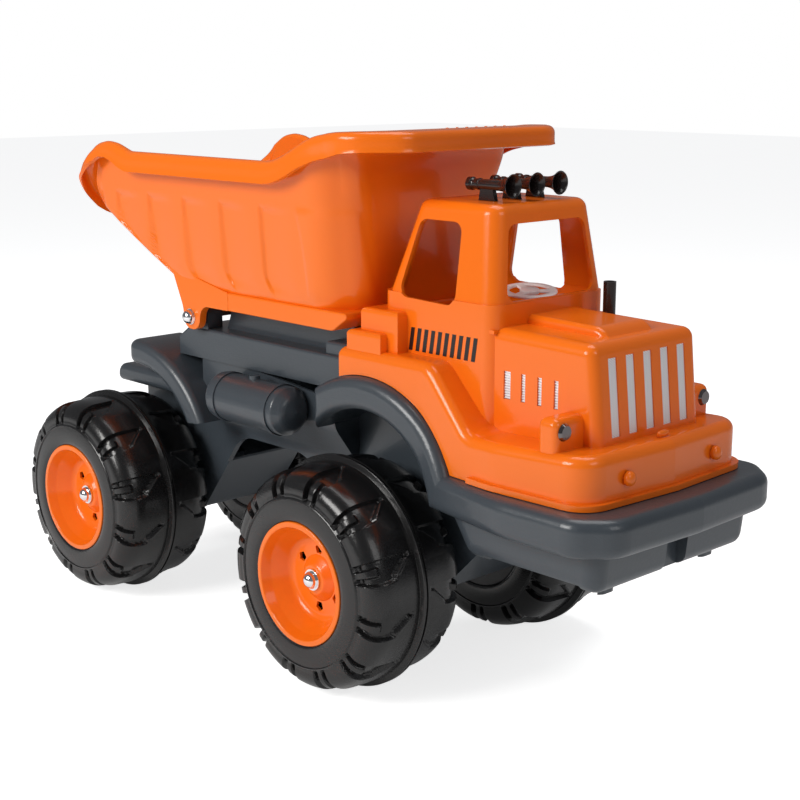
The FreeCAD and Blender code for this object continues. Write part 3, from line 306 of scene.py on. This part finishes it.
def tread_depth(phase, reach):
    """How deep the tread lies under the smooth crown, by phase of the pattern and reach from the ring.

    A pocket runs from the phase 0 edge to a bowed ledge; its inner end steps away from the ring,
    and a short lug stands in it at the shoulder, where it is deepest."""
    inner = np.interp(phase, [0.0, 0.07, 0.1, 0.3, 0.44, 1.0], [0.09, 0.1, 0.17, 0.36, 0.42, 0.42])
    ledge = 0.40 + 0.045 * np.sin(np.pi * np.clip((reach - 0.35) / 0.65, 0.0, 1.0))
    pocket = (smooth_step(phase / 0.026) * smooth_step((ledge - phase) / 0.04)
              * smooth_step((reach - inner) / 0.03))
    lug = smooth_step((0.095 - np.abs(phase - 0.205)) / 0.04) * smooth_step((reach - 0.62) / 0.05)
    bead = np.exp(-((reach - inner + 0.035) / 0.013) ** 2) * smooth_step((phase - 0.08) / 0.03)
    bead = bead * smooth_step((0.34 - phase) / 0.03)
    crease = np.exp(-((reach - 0.12) / 0.012) ** 2)
    crease = crease * smooth_step((0.045 - np.abs(phase - 0.035)) / 0.02)
    deep = 0.62 + 0.5 * np.clip(reach, 0.0, 1.0)
    return POCKET_DEPTH * pocket * deep * (1.0 - 0.88 * lug) - 0.6 * bead - 0.5 * crease


def tyre_half(name, centre, hand, way, turn):
    """One tyre half: a profile round the axle, pushed in along its normal by the tread depth.

    Profile, from the middle ring outward: ring, flat tread, elliptic shoulder, small step,
    sidewall and bead, then back inside as a plain wall."""
    tread_out = np.linspace(3.6, 26.0, 18)
    turn_in = np.radians(np.linspace(0.0, 90.0, 30))[1:]
    crown = np.concatenate([
        np.stack([[0.02, 0.7, 1.1, 2.5, 3.0, 3.3], [98.4, 98.6, 100.0, 100.0, 99.0, 95.6]], -1),
        np.stack([tread_out, 95.0 - 0.6 * smooth_step((tread_out - 10.0) / 20.0)], -1),
        np.stack([26.0 + 24.8 * np.sin(turn_in) ** 0.86, 75.4 + 19.0 * np.cos(turn_in) ** 0.8], -1)])
    side = np.array([[51.2, 74.4], [51.2, 73.2], [52.3, 72.4], [52.5, 71.6], [51.6, 70.8], [51.7, 70.0],
                     [52.6, 64.0], [52.6, 58.0], [52.2, 54.4], [51.4, 53.1], [49.4, 52.9]])
    inside = np.array([[48.6, 54.0], [47.0, 74.0], [38.0, 86.0], [24.0, 90.4], [0.02, 90.4]])
    profile = np.concatenate([crown, side, inside])
    ahead = np.gradient(profile, axis=0)
    normal = np.stack([-ahead[:, 1], ahead[:, 0]], -1)
    normal /= np.linalg.norm(normal, axis=1)[:, None]
    first, last = 6, len(crown) - 1
    run = np.concatenate([[0.0], np.cumsum(np.linalg.norm(np.diff(profile, axis=0), axis=1))])
    reach = (run - run[first]) / (run[last] - run[first])
    steps = TYRE_PERIODS * STEPS_PER_PERIOD
    angle = np.arange(steps) * 2.0 * np.pi / steps
    phase = np.mod((math.radians(turn) - angle) * TYRE_PERIODS / (2.0 * np.pi), 1.0)
    inside_band = (np.arange(len(profile)) >= first) & (np.arange(len(profile)) <= last + 1)
    depth = tread_depth(phase[:, None], np.clip(reach, 0.0, 1.0)[None, :]) * inside_band[None, :]
    depth[:, last + 1] *= 0.6
    radius = profile[None, :, 1] - np.abs(normal[None, :, 1]) * depth
    across = profile[None, :, 0] - np.abs(normal[None, :, 0]) * depth
    x = centre[0] - hand * radius * np.cos(angle)[:, None]
    z = centre[2] + radius * np.sin(angle)[:, None]
    y = centre[1] + hand * way * across
    return grid_piece(name, np.stack([x, y, z], -1), tyre_plastic, True, True, 50.0)


def lathe(name, profile, centre, way, material, turns=72, smooth=40.0):
    """Profile of (distance along the axle line, radius) turned about a line along Y through centre."""
    profile = np.array(profile, float)
    angle = np.arange(turns)[:, None] * 2.0 * np.pi / turns
    x = centre[0] + profile[None, :, 1] * np.cos(angle)
    z = centre[2] + profile[None, :, 1] * np.sin(angle)
    y = np.broadcast_to(centre[1] + way * profile[None, :, 0], x.shape)
    return grid_piece(name, np.stack([x, y, z], -1), material, True, True, smooth)


def dome(reach, radius, height):
    """Chrome cap in profile: short skirt, small step, then a quarter ellipse to the pole."""
    turn = np.radians(np.linspace(0.0, 90.0, 14))
    crown = np.stack([reach + 1.5 + (height - 1.5) * np.sin(turn), radius * 0.93 * np.cos(turn)], -1)
    crown[-1, 1] = 0.0
    return np.concatenate([[[reach, 0.0], [reach, radius], [reach + 1.0, radius]], crown])


for end, turn in (("front", 25.0), ("rear", -8.0)):
    for side_name, hand in (("left", 1.0), ("right", -1.0)):
        corner = end + "_" + side_name
        low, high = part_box("tyre_outer_" + corner)
        centre = ((low + high) / 2.0) / MM
        inner_y = low.y if hand > 0 else high.y
        centre[1] = inner_y / MM - hand * 0.02
        for half, way, shift in (("outer", 1.0, 0.0), ("inner", -1.0, 10.0)):
            tyre = tyre_half("tread_" + half + "_" + corner, centre, hand, way, turn + shift)
            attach(tyre, "wheel_" + corner)
            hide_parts("tyre_" + half + "_" + corner)
        dress("rim_" + corner, orange_plastic)
        dress("hub_" + corner, black_plastic)
        dress("washer_" + corner, chrome)
        boss = lathe("rim_boss_" + corner,
                     [[26.6, 6.0], [35.1, 6.0], [35.1, 12.2], [34.7, 13.0], [33.6, 14.0],
                      [30.4, 18.2], [29.2, 19.4], [28.3, 20.2], [26.6, 20.2]],
                     centre, hand, orange_plastic)
        cap = lathe("axle_cap_" + corner, dome(37.0, 7.4, 7.0), centre, hand, chrome)
        for piece, slot in ((boss, "orange_plastic"), (cap, "chrome_trim")):
            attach(piece, "wheel_" + corner)
        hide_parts("axle_nut_" + corner)

# ---- dump bed ----
# One injection-moulded hopper in glossy orange, about 3 mm thick: foot, ribbed sides, ramped
# tail with two ears, and a turned-over rim that runs forward as a canopy over the cab.
SHIFT = -266.0
HINGE_X = 110.0
low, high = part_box("hinge_rod")
HINGE_Z = (low.z + high.z) / 2.0 / MM
BED_Z = HINGE_Z + 11.6
BED_WALL = 3.0
FOOT_R = 26.0
KNEE = 84.0
RIM_H = 141.0
HEAD_H = 168.5
RIB_X = np.array([13.0, 66.0, 121.0, 177.0, 234.0])


def loop(corners, arc_points, run_points):
    """Closed outline through corners (u, v, radius): each corner is an arc tangent to both runs.

    arc_points[i] points turn evenly round corner i, and run_points[i] points divide the
    straight run that follows it."""
    given = np.array(corners, float)
    at = given[:, :2]
    ahead = np.roll(at, -1, 0) - at
    ahead /= np.linalg.norm(ahead, axis=1)[:, None]
    back = -np.roll(ahead, 1, 0)
    half = np.arccos(np.clip((ahead * back).sum(1), -1.0, 1.0)) / 2.0
    run = given[:, 2] / np.tan(half)
    enter = at + back * run[:, None]
    leave = at + ahead * run[:, None]
    middle = ahead + back
    middle /= np.linalg.norm(middle, axis=1)[:, None]
    centre = at + middle * (given[:, 2] / np.sin(half))[:, None]
    out = []
    for i in range(len(given)):
        t = np.linspace(0.0, 1.0, arc_points[i])[:, None]
        turn = math.pi - 2.0 * half[i]
        if turn < 1e-4 or given[i, 2] < 1e-6:
            arc = enter[i] + (leave[i] - enter[i]) * t
        else:
            a, b = enter[i] - centre[i], leave[i] - centre[i]
            arc = centre[i] + (np.sin((1.0 - t) * turn) * a + np.sin(t * turn) * b) / math.sin(turn)
        out.append(arc)
        after = enter[(i + 1) % len(given)]
        t = np.linspace(0.0, 1.0, run_points[i] + 2)[1:-1, None]
        out.append(leave[i] + (after - leave[i]) * t)
    return np.concatenate(out)


BED_ARCS = (26, 12, 12, 12, 12, 26)
BED_RUNS = (170, 7, 44, 7, 170, 70)


def bed_plan(half, tail, head):
    """Plan of the hopper at one height: small tail corners and broad two-step head corners."""
    right = [(tail, -half, 16.0), (head - 27.0, -half, 36.0), (head, -half + 27.0, 36.0)]
    return loop(right + [(x, -y, r) for x, y, r in reversed(right)], BED_ARCS, BED_RUNS)


def bed_ring(height):
    """Hopper outline at a height for every column: nine plans, joined by straight lines."""
    levels = np.array([0.0, 14.0, 28.0, 42.0, 56.0, 70.0, KNEE, RIM_H, HEAD_H + 10.0])
    tails = np.array([119.0, 94.0, 69.0, 44.0, 20.5, -2.0, -22.0, -22.0, -22.0])
    plans = np.stack([bed_plan(84.0 + 27.0 * z / RIM_H, tail, 326.0 + 18.0 * min(z, RIM_H) / RIM_H)
                      for z, tail in zip(levels, tails)])
    out = np.empty(height.shape + (2,))
    for axis in (0, 1):
        part = plans[:, :, axis]
        k = np.clip(np.searchsorted(levels, height, side="right") - 1, 0, len(levels) - 2)
        t = (height - levels[k]) / (levels[k + 1] - levels[k])
        column = np.broadcast_to(np.arange(part.shape[1]), height.shape)
        out[..., axis] = part[k, column] * (1.0 - t) + part[k + 1, column] * t
    return out


def rim_height(x, y):
    """Height of the rim's top over the base: level sides, a lobe at each tail ear, low tail
    mouth between the ears, and an S up to the canopy at the head."""
    rise = (HEAD_H - RIM_H) * smooth_step((x - 260.0) / 84.0)
    lobe = np.interp(x, [-22.0, -17.0, -6.0, 8.0, 22.0, 36.0, 56.0],
                     [103.0, 121.0, 138.0, 147.0, 149.5, 148.0, 141.0])
    mouth = smooth_step((np.abs(y) - 84.0) / 22.0)
    level = np.where(x < 56.0, lobe, RIM_H)
    return np.where(x < 0.0, KNEE + (level - KNEE) * mouth, level) + rise


def reach_to(start, way, outline):
    """Distance from each start point along its direction to a closed outline."""
    a = outline
    edge = np.roll(outline, -1, 0) - outline
    gap = a[None] - start[:, None]
    cross = way[:, None, 0] * edge[None, :, 1] - way[:, None, 1] * edge[None, :, 0]
    cross = np.where(np.abs(cross) < 1e-9, 1e-9, cross)
    far = (gap[..., 0] * edge[None, :, 1] - gap[..., 1] * edge[None, :, 0]) / cross
    along = (gap[..., 0] * way[:, None, 1] - gap[..., 1] * way[:, None, 0]) / cross
    hit = (far > 0.0) & (along >= -1e-6) & (along <= 1.0 + 1e-6)
    return np.where(hit, far, 1e9).min(1)


def settle(values, count):
    """Running mean round the loop, count times."""
    for _ in range(count):
        values = (np.roll(values, 1, 0) + values * 2.0 + np.roll(values, -1, 0)) / 4.0
    return values


def bed_sheet():
    """Outer skin of the hopper as a grid: rows go from the floor's middle line out to the foot,
    round it, up the wall, over the rim and down its lip; columns go round the plan."""
    top_plan = bed_ring(np.full(sum(BED_ARCS) + sum(BED_RUNS), RIM_H))
    top = rim_height(top_plan[:, 0], top_plan[:, 1]) - BED_WALL
    top = settle(top, 6)
    edge = np.concatenate([bed_ring(top), top[:, None]], -1)
    tangent = settle(np.roll(edge, -1, 0) - np.roll(edge, 1, 0), 4)
    tangent /= np.linalg.norm(tangent, axis=1)[:, None]
    out = np.stack([tangent[:, 1], -tangent[:, 0], np.zeros(len(tangent))], -1)
    out = settle(out / np.linalg.norm(out, axis=1)[:, None], 3)
    out /= np.linalg.norm(out, axis=1)[:, None]
    down = np.cross(tangent, out)
    down /= np.linalg.norm(down, axis=1)[:, None]
    right = [(-37.0, -117.0, 26.0), (368.0, -117.0, 30.0), (402.0, -86.0, 13.0)]
    rim_plan = loop(right + [(x, -y, r) for x, y, r in reversed(right)], [20] * 6, [40] * 6)
    flange = settle(reach_to(edge[:, :2], out[:, :2], rim_plan), 3)
    cove = np.clip((flange - 6.0) * 0.7 + 2.2, 2.2, 30.0)
    is_tail = smooth_step((60.0 - edge[:, 0]) / 70.0)
    is_head = smooth_step((flange - 8.0) / 30.0)
    lip = 16.5 - 6.0 * is_tail - 3.0 * is_head
    rows = []
    spine = np.stack([np.clip(top_plan[:, 0], 190.0, 285.0), np.zeros(len(top_plan))], -1)
    flat = bed_ring(np.zeros(len(top_plan))) - out[:, :2] * FOOT_R
    for s in np.linspace(0.0, 1.0, 7)[:-1]:
        rows.append(np.concatenate([spine * (1.0 - s) + flat * s, np.zeros((len(flat), 1))], -1))
    for a in np.radians(np.linspace(0.0, 90.0, 12)):
        z = np.full(len(flat), FOOT_R * (1.0 - math.cos(a)))
        foot = bed_ring(z) - out[:, :2] * FOOT_R * (1.0 - math.sin(a))
        rows.append(np.concatenate([foot, z[:, None]], -1))
    high = edge + down * cove[:, None]
    for t in np.linspace(0.0, 1.0, 40)[1:]:
        z = FOOT_R + (top - FOOT_R) * t
        under = FOOT_R + (high[:, 2] - FOOT_R) * t
        z = np.minimum(z, under) * (1.0 - t) + under * t
        wall = np.concatenate([bed_ring(z), z[:, None]], -1)
        short = high - np.concatenate([bed_ring(high[:, 2]), high[:, 2:]], -1)
        rows.append(wall + short * smooth_step((t - 0.7) / 0.3))
    for a in np.radians(np.linspace(0.0, 90.0, 9))[1:]:
        rows.append(edge + out * (cove * (1.0 - math.cos(a)))[:, None]
                    + down * (cove * (1.0 - math.sin(a)))[:, None])
    bend = 3.2
    for t in np.linspace(0.0, 1.0, 5)[1:]:
        rows.append(edge + out * (cove + (np.maximum(flange - bend, cove) - cove) * t)[:, None])
    for a in np.radians(np.linspace(0.0, 90.0, 6))[1:]:
        rows.append(edge + out * (flange - bend + bend * math.sin(a))[:, None]
                    + down * bend * (1.0 - math.cos(a)))
    for t in np.linspace(0.0, 1.0, 6)[1:]:
        flare = 0.9 * smooth_step((t - 0.7) / 0.3)
        rows.append(edge + out * (flange + flare)[:, None]
                    + down * (bend + (lip - bend) * t)[:, None])
    points = np.stack(rows)
    points = press_ribs(points, out)
    points[..., 0] += SHIFT
    points[..., 2] += BED_Z
    return points


def press_ribs(points, out):
    """Push in the five side ribs and the rounded panel at each head corner.

    A rib is a step in at its line that fades out forward; its line leans forward at the foot."""
    x, y, z = points[..., 0], points[..., 1], points[..., 2]
    lean = 16.0 * smooth_step((46.0 - z) / 34.0) ** 1.5 - 0.15 * (102.0 - z)
    ahead = (x - lean)[..., None] - RIB_X
    step = smooth_step(ahead / 3.0) * (1.0 - smooth_step((ahead - 5.0) / 42.0))
    end = 102.0 - 1.5 * smooth_step(ahead / 6.0)
    press = 2.5 * (step * smooth_step((end - z[..., None]) / 3.0)).sum(-1)
    sides = smooth_step((np.abs(out[:, 1])[None, :] - 0.9) / 0.09) * smooth_step((z - 16.0) / 16.0)
    wall = (np.arange(len(points)) < 56)[:, None]
    turn = np.degrees(np.arctan2(np.abs(out[:, 1]), out[:, 0]))[None, :]
    round_x = x + (90.0 - np.clip(turn, 0.0, 90.0)) * 0.35
    box = (smooth_step((round_x - 284.0 + 0.0018 * (z - 70.0) ** 2) / 5.0)
           * smooth_step((360.0 - round_x) / 5.0))
    box = box * smooth_step((z - 24.0) / 6.0) * smooth_step((104.0 - z) / 6.0)
    moved = press * sides * wall - 1.0 * box * wall
    points = points.copy()
    points[..., :2] -= out[None, :, :2] * moved[..., None]
    return points


def thicken(piece, thickness, bevel):
    """Wall behind the skin, then a small round on its free edges."""
    wall = piece.modifiers.new("wall", "SOLIDIFY")
    wall.thickness = thickness * MM
    wall.offset = -1.0
    wall.use_rim = True
    soften_edges(piece, bevel, 50.0)


def soften_edges(piece, width, angle):
    """Small round on every edge sharper than angle."""
    bevel = piece.modifiers.new("edge", "BEVEL")
    bevel.width = width * MM
    bevel.segments = 3
    bevel.limit_method = "ANGLE"
    bevel.angle_limit = math.radians(angle)
    bevel.harden_normals = True


def sheet_piece(name, points, material):
    """Grid of quads, closed round its columns, that keeps its winding, for skins that get a wall."""
    rows, columns = points.shape[:2]
    index = np.arange(rows * columns).reshape(rows, columns)
    index = np.hstack([index, index[:, :1]])
    quads = np.stack([index[:-1, :-1], index[:-1, 1:], index[1:, 1:], index[1:, :-1]], -1)
    quads = quads.reshape(-1, 4)
    mesh = bpy.data.meshes.new(name)
    mesh.from_pydata((points.reshape(-1, 3) * MM).tolist(), [], quads.tolist())
    work = bmesh.new()
    work.from_mesh(mesh)
    bmesh.ops.remove_doubles(work, verts=work.verts, dist=1e-6)
    work.to_mesh(mesh)
    work.free()
    mesh.materials.append(material)
    mesh.polygons.foreach_set("use_smooth", np.ones(len(mesh.polygons), dtype=bool))
    piece = bpy.data.objects.new(name, mesh)
    bpy.context.scene.collection.objects.link(piece)
    return piece


def prism(name, outline, y0, y1, material, bevel):
    """Side-view outline (x, z) carried from y0 to y1, with rounded edges."""
    count = len(outline)
    near = np.stack([outline[:, 0], np.full(count, y0), outline[:, 1]], -1)
    far = near + np.array([0.0, y1 - y0, 0.0])
    points = np.concatenate([near, far]) * MM
    i = np.arange(count)
    j = (i + 1) % count
    sides = np.stack([i, j, j + count, i + count], -1).tolist()
    mesh = bpy.data.meshes.new(name)
    mesh.from_pydata(points.tolist(), [], sides + [i.tolist()[::-1], (i + count).tolist()])
    piece = finish_mesh(name, mesh, material, 35.0)
    if bevel:
        soften_edges(piece, bevel, 40.0)
    return piece


bed_shell = sheet_piece("bed_shell", bed_sheet(), orange_plastic)
thicken(bed_shell, BED_WALL, 0.8)
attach(bed_shell, "bed")
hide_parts("dump_bed")

base_line = loop([(148.0, BED_Z, 6.0), (312.0, BED_Z, 12.0), (337.0, BED_Z + 17.0, 3.0),
                  (140.0, BED_Z + 17.0, 2.0)], [6] * 4, [1] * 4)
base_line[:, 0] += SHIFT
bed_base = prism("bed_base", base_line, -88.0, 88.0, orange_plastic, 1.6)
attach(bed_base, "bed")
ear_line = loop([(168.0, BED_Z, 1.0), (168.0, BED_Z + 17.0, 1.0), (80.0, BED_Z + 34.0, 3.0),
                 (98.5, HINGE_Z + 6.0, 30.0), (98.5, HINGE_Z - 12.0, 11.0), (122.0, HINGE_Z - 12.0, 11.0),
                 (126.0, BED_Z, 12.0)], [2, 2, 4, 10, 12, 12, 10], [1] * 7)
ear_line[:, 0] += SHIFT
for side_name, hand in (("left", 1.0), ("right", -1.0)):
    y0, y1 = sorted((hand * 80.6, hand * 88.5))
    ear = prism("hinge_ear_" + side_name, ear_line, y0, y1, orange_plastic, 1.4)
    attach(ear, "bed")
    cap = lathe("hinge_cap_" + side_name, dome(0.0, 6.9, 7.2),
                (HINGE_X + SHIFT, hand * 89.6, HINGE_Z), hand, chrome)
    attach(cap, "bed")
    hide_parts("hinge_nut_" + side_name)
dress("hinge_washers", chrome)

# ---- cab shell ----
# One orange moulding: cab, hood and fender deck, screwed down on the grey hull.  Two nose
# studs and an oval clip under the grille are moulded with it; the bed's canopy above has dots.
dress("cab_shell", orange_plastic)


def button(name, centre, way, radius, height, material, stretch=1.0):
    """Low round stud: quarter ellipse turned about the direction way, stretched along Y."""
    rise = np.radians(np.linspace(0.0, 90.0, 10))
    reach = np.concatenate([[-2.0, -2.0], height * np.sin(rise)])
    wide = np.concatenate([[0.0, radius], radius * np.cos(rise)])
    wide[-1] = 0.0
    angle = np.arange(40)[:, None] * 2.0 * np.pi / 40
    way = np.array(way, float) / np.linalg.norm(way)
    left = np.array([0.0, 1.0, 0.0])
    up = np.cross(way, left)
    points = (np.array(centre, float) + reach[None, :, None] * way
              + (wide[None, :] * np.cos(angle) * stretch)[..., None] * left
              + (wide[None, :] * np.sin(angle))[..., None] * up)
    piece = grid_piece(name, points, material, True, True, 50.0)
    return piece


for side_name, hand in (("left", 1.0), ("right", -1.0)):
    stud = button("nose_stud_" + side_name, (604.0 + SHIFT, hand * 54.0, 222.5), (1.0, 0.0, 0.05),
                  5.6, 3.4, orange_plastic)
    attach(stud, "truck")
clip = button("nose_clip", (592.0 + SHIFT, 0.0, 246.0), (0.3, 0.0, 0.95), 2.6, 1.8,
              orange_plastic, 2.6)
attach(clip, "truck")
for k in range(7):
    dot = button("canopy_dot_" + str(k + 1),
                 (362.0 + SHIFT, -2.0 + 11.7 * k, BED_Z + HEAD_H - 1.0), (0.0, 0.0, 1.0),
                 1.5, 0.9, orange_plastic)
    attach(dot, "bed")

# ---- steering wheel and column ----
# White three-spoke wheel with a broad flat rim, pressed on a white post that turns in the
# dash shelf of the cab.
white_plastic = moulded("white_plastic", (0.95, 0.95, 0.94), 0.3, 0.08, 0.05, 0.1, 0.1, 0.2)
low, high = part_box("steering_wheel")
STEER = (np.array(low) + np.array(high)) / 2.0 / MM


def upright_lathe(name, profile, centre, material, turns=96, smooth=40.0):
    """Profile of (radius, height) turned about a vertical line through centre."""
    profile = np.array(profile, float)
    angle = np.arange(turns)[:, None] * 2.0 * np.pi / turns
    x = centre[0] + profile[None, :, 0] * np.cos(angle)
    y = centre[1] + profile[None, :, 0] * np.sin(angle)
    z = np.broadcast_to(centre[2] + profile[None, :, 1], x.shape)
    return grid_piece(name, np.stack([x, y, z], -1), material, True, True, smooth)


def bar(name, start, end, width, thick, material, bevel):
    """Flat bar of a width and thickness from start to end, ends square, edges rounded."""
    start, end = np.array(start, float), np.array(end, float)
    along = (end - start) / np.linalg.norm(end - start)
    over = np.cross([0.0, 0.0, 1.0], along)
    over /= np.linalg.norm(over)
    up = np.cross(along, over)
    corner = np.array([[-1, -1], [1, -1], [1, 1], [-1, 1]]) / 2.0
    ring = corner[:, :1] * width * over + corner[:, 1:] * thick * up
    points = np.concatenate([start + ring, end + ring]) * MM
    faces = [(3, 2, 1, 0), (4, 5, 6, 7), (0, 1, 5, 4), (1, 2, 6, 5), (2, 3, 7, 6), (3, 0, 4, 7)]
    mesh = bpy.data.meshes.new(name)
    mesh.from_pydata(points.tolist(), [], faces)
    piece = finish_mesh(name, mesh, material, 35.0)
    soften_edges(piece, bevel, 40.0)
    return piece


turn = np.radians(np.arange(0.0, 360.0, 20.0))
ring = np.stack([19.6 + 3.0 * np.sign(np.cos(turn)) * np.abs(np.cos(turn)) ** 0.6,
                 1.3 * np.sign(np.sin(turn)) * np.abs(np.sin(turn)) ** 0.7], -1)
STEER[2] -= 1.0
wheel_ring = upright_lathe("steering_ring", ring, STEER, white_plastic)
plate = upright_lathe("steering_plate", [[0.0, -1.8], [7.6, -1.8], [8.2, -1.2], [8.2, 1.0],
                                         [7.4, 1.7], [0.0, 2.1]], STEER, white_plastic)
steering = [wheel_ring, plate]
for k, at in enumerate((40.0, 160.0, 280.0)):
    out = np.array([math.cos(math.radians(at)), math.sin(math.radians(at)), 0.0])
    steering.append(bar("steering_spoke_" + str(k + 1), STEER + out * 5.0, STEER + out * 18.0,
                        7.0, 2.0, white_plastic, 0.6))
# The wheel's plane leans a little off the level.
lean = Matrix.Rotation(math.radians(7.0), 4, Vector((0.69, 0.72, 0.0)))
hub_point = Matrix.Translation(Vector(STEER * MM))
for piece in steering:
    piece.data.transform(hub_point @ lean @ hub_point.inverted())
    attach(piece, "steering")
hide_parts("steering_wheel")
dress("steering_column", white_plastic)

# ---- horns and exhaust ----
# Three dark brown trumpets with wide open mouths on tabs in the roof, and an upright
# pipe pushed into the left side of the hood.
brown_plastic = moulded("brown_plastic", (0.014, 0.0085, 0.008), 0.26, 0.1, 0.3, 0.3, 0.2, 0.25)


def horn(name, node):
    """Trumpet along X in profile: ring at the back, slim stem, and a flare that follows a
    power curve to a rolled mouth, then back inside as a thin wall."""
    low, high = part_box(node)
    end = high.x / MM
    y = (low.y + high.y) / 2.0 / MM
    z = high.z / MM - 9.6
    back = low.x / MM
    flare = np.linspace(0.0, 1.0, 22)
    outer = np.stack([end - 17.0 + 16.2 * flare, 4.4 + 5.0 * flare ** 2.6], -1)
    inner = np.stack([end - 0.6 - 15.0 * flare, 8.4 - 4.9 * (1.0 - (1.0 - flare) ** 2.4)], -1)
    profile = np.concatenate([
        [[back, 0.0], [back, 4.6], [back + 0.6, 5.4], [back + 4.4, 5.4], [back + 5.0, 4.5],
         [back + 7.0, 4.1], [back + 10.0, 4.1], [back + 10.4, 4.7], [back + 12.6, 4.7],
         [back + 13.0, 4.1]],
        outer, [[end - 0.5, 9.7], [end, 9.4]], inner, [[end - 18.0, 0.0]]])
    angle = np.arange(56)[:, None] * 2.0 * np.pi / 56
    x = np.broadcast_to(profile[None, :, 0], (56, len(profile)))
    points = np.stack([x, y + profile[None, :, 1] * np.cos(angle),
                       z + profile[None, :, 1] * np.sin(angle)], -1)
    piece = grid_piece(name, points, brown_plastic, True, True, 45.0)
    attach(piece, "truck")
    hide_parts(node)
    foot = np.array([[back + 12.0, low.z / MM], [back + 30.0, low.z / MM],
                     [back + 27.0, z - 2.0], [back + 14.0, z - 2.0]])
    tab = prism(name + "_tab", foot, y - 2.2, y + 2.2, brown_plastic, 0.5)
    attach(tab, "truck")


for side_name in ("right", "middle", "left"):
    horn("trumpet_" + side_name, "horn_" + side_name)
dress("exhaust_pipe", brown_plastic)

# ---- grille and side vents ----
# Five bright strips with a fine slanted weave behind the slots of the hood, and ribbed
# silver strips behind the side louvres; all are stuck in from inside.


def woven_film():
    """Bright foil: a fine slanted wave pattern darkens the colour a little; the bump comes from the
    moulded skin.
    """
    material = moulded("silver_film", (0.78, 0.78, 0.80), 0.34, 0.1, 0.1, 0.2, 0.2, 0.1, 0.1)
    tree = material.node_tree
    shader = tree.nodes["Principled BSDF"]
    place = tree.nodes.new("ShaderNodeTexCoord").outputs["Object"]
    turned = tree.nodes.new("ShaderNodeMapping")
    turned.inputs["Rotation"].default_value = (0.6, 0.0, 0.0)
    wave = tree.nodes.new("ShaderNodeTexWave")
    wave.bands_direction = "Z"
    wave.inputs["Scale"].default_value = 190.0
    wave.inputs["Distortion"].default_value = 0.4
    tint = tree.nodes.new("ShaderNodeMix")
    tint.data_type = "RGBA"
    tint.inputs["A"].default_value = (0.60, 0.60, 0.63, 1.0)
    tint.inputs["B"].default_value = (0.97, 0.97, 0.98, 1.0)
    tree.links.new(place, turned.inputs["Vector"])
    tree.links.new(turned.outputs["Vector"], wave.inputs["Vector"])
    tree.links.new(wave.outputs["Fac"], tint.inputs["Factor"])
    tree.links.new(tint.outputs["Result"], shader.inputs["Base Color"])
    return material


silver_film = woven_film()


def hood_face(z):
    """Station of the hood's raked front at height z."""
    return 584.0 - 11.0 * (z - 213.0) / 104.5 + SHIFT


GRILLE_LOW = 247.0 - 0.4
GRILLE_HIGH = 306.5 + 0.4
GRILLE_PITCH = 21.0
GRILLE_HALF = 4.9
for k in range(5):
    y = (k - 2) * GRILLE_PITCH
    line = np.array([[hood_face(GRILLE_LOW) - 2.2, GRILLE_LOW],
                     [hood_face(GRILLE_LOW) - 1.0, GRILLE_LOW],
                     [hood_face(GRILLE_HIGH) - 1.0, GRILLE_HIGH],
                     [hood_face(GRILLE_HIGH) - 2.2, GRILLE_HIGH]])
    strip = prism("grille_insert_" + str(k + 1), line, y - GRILLE_HALF, y + GRILLE_HALF,
                  silver_film, 0.0)
    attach(strip, "truck")
    if k == 0:
        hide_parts("grille_strips")


def ribbed_strip(name, x, half, y, hand, low_z, high_z, material):
    """Upright strip whose outer face rises and falls in even ribs up its height."""
    z = np.linspace(low_z, high_z, 133)
    rib = 0.35 * np.clip(2.5 * np.sin((z - low_z) * 2.0 * np.pi / 2.1), -1.0, 1.0)
    out = y + hand * np.stack([np.full_like(z, -1.2), rib, rib, np.full_like(z, -1.2)], -1)
    across = np.array([x - half, x - half, x + half, x + half])
    points = np.stack([np.broadcast_to(across, out.shape), out,
                       np.broadcast_to(z[:, None], out.shape)], -1)
    ends = np.array([[[x, y - hand * 0.6, low_z]] * 4, [[x, y - hand * 0.6, high_z]] * 4])
    return grid_piece(name, np.concatenate([ends[:1], points, ends[1:]]), material, False, True, 30.0)


dark_chrome = moulded("dark_chrome", (0.20, 0.18, 0.18), 0.12, 0.1, 0.3, 0.1, 0.2, 0.0, 1.0)
sticker = moulded("black_sticker", (0.006, 0.006, 0.006), 0.32, 0.1, 0.3, 0.2, 0.2, 0.0)
for side_name, hand in (("left", 1.0), ("right", -1.0)):
    low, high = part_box("vent_strips_" + side_name)
    outer = (high.y if hand > 0 else low.y) / MM
    for k in range(4):
        half = 3.5 if k == 0 else 2.1
        strip = ribbed_strip("vent_insert_" + side_name + "_" + str(k + 1),
                             490.0 + 16.5 * k + SHIFT, half, outer + hand * 1.6, hand,
                             low.z / MM + 1.3, high.z / MM - 1.3, silver_film)
        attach(strip, "truck")
        if k == 0:
            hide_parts("vent_strips_" + side_name)
    dress("headlight_" + side_name, dark_chrome)
    dress("stripe_sticker_" + side_name, sticker)
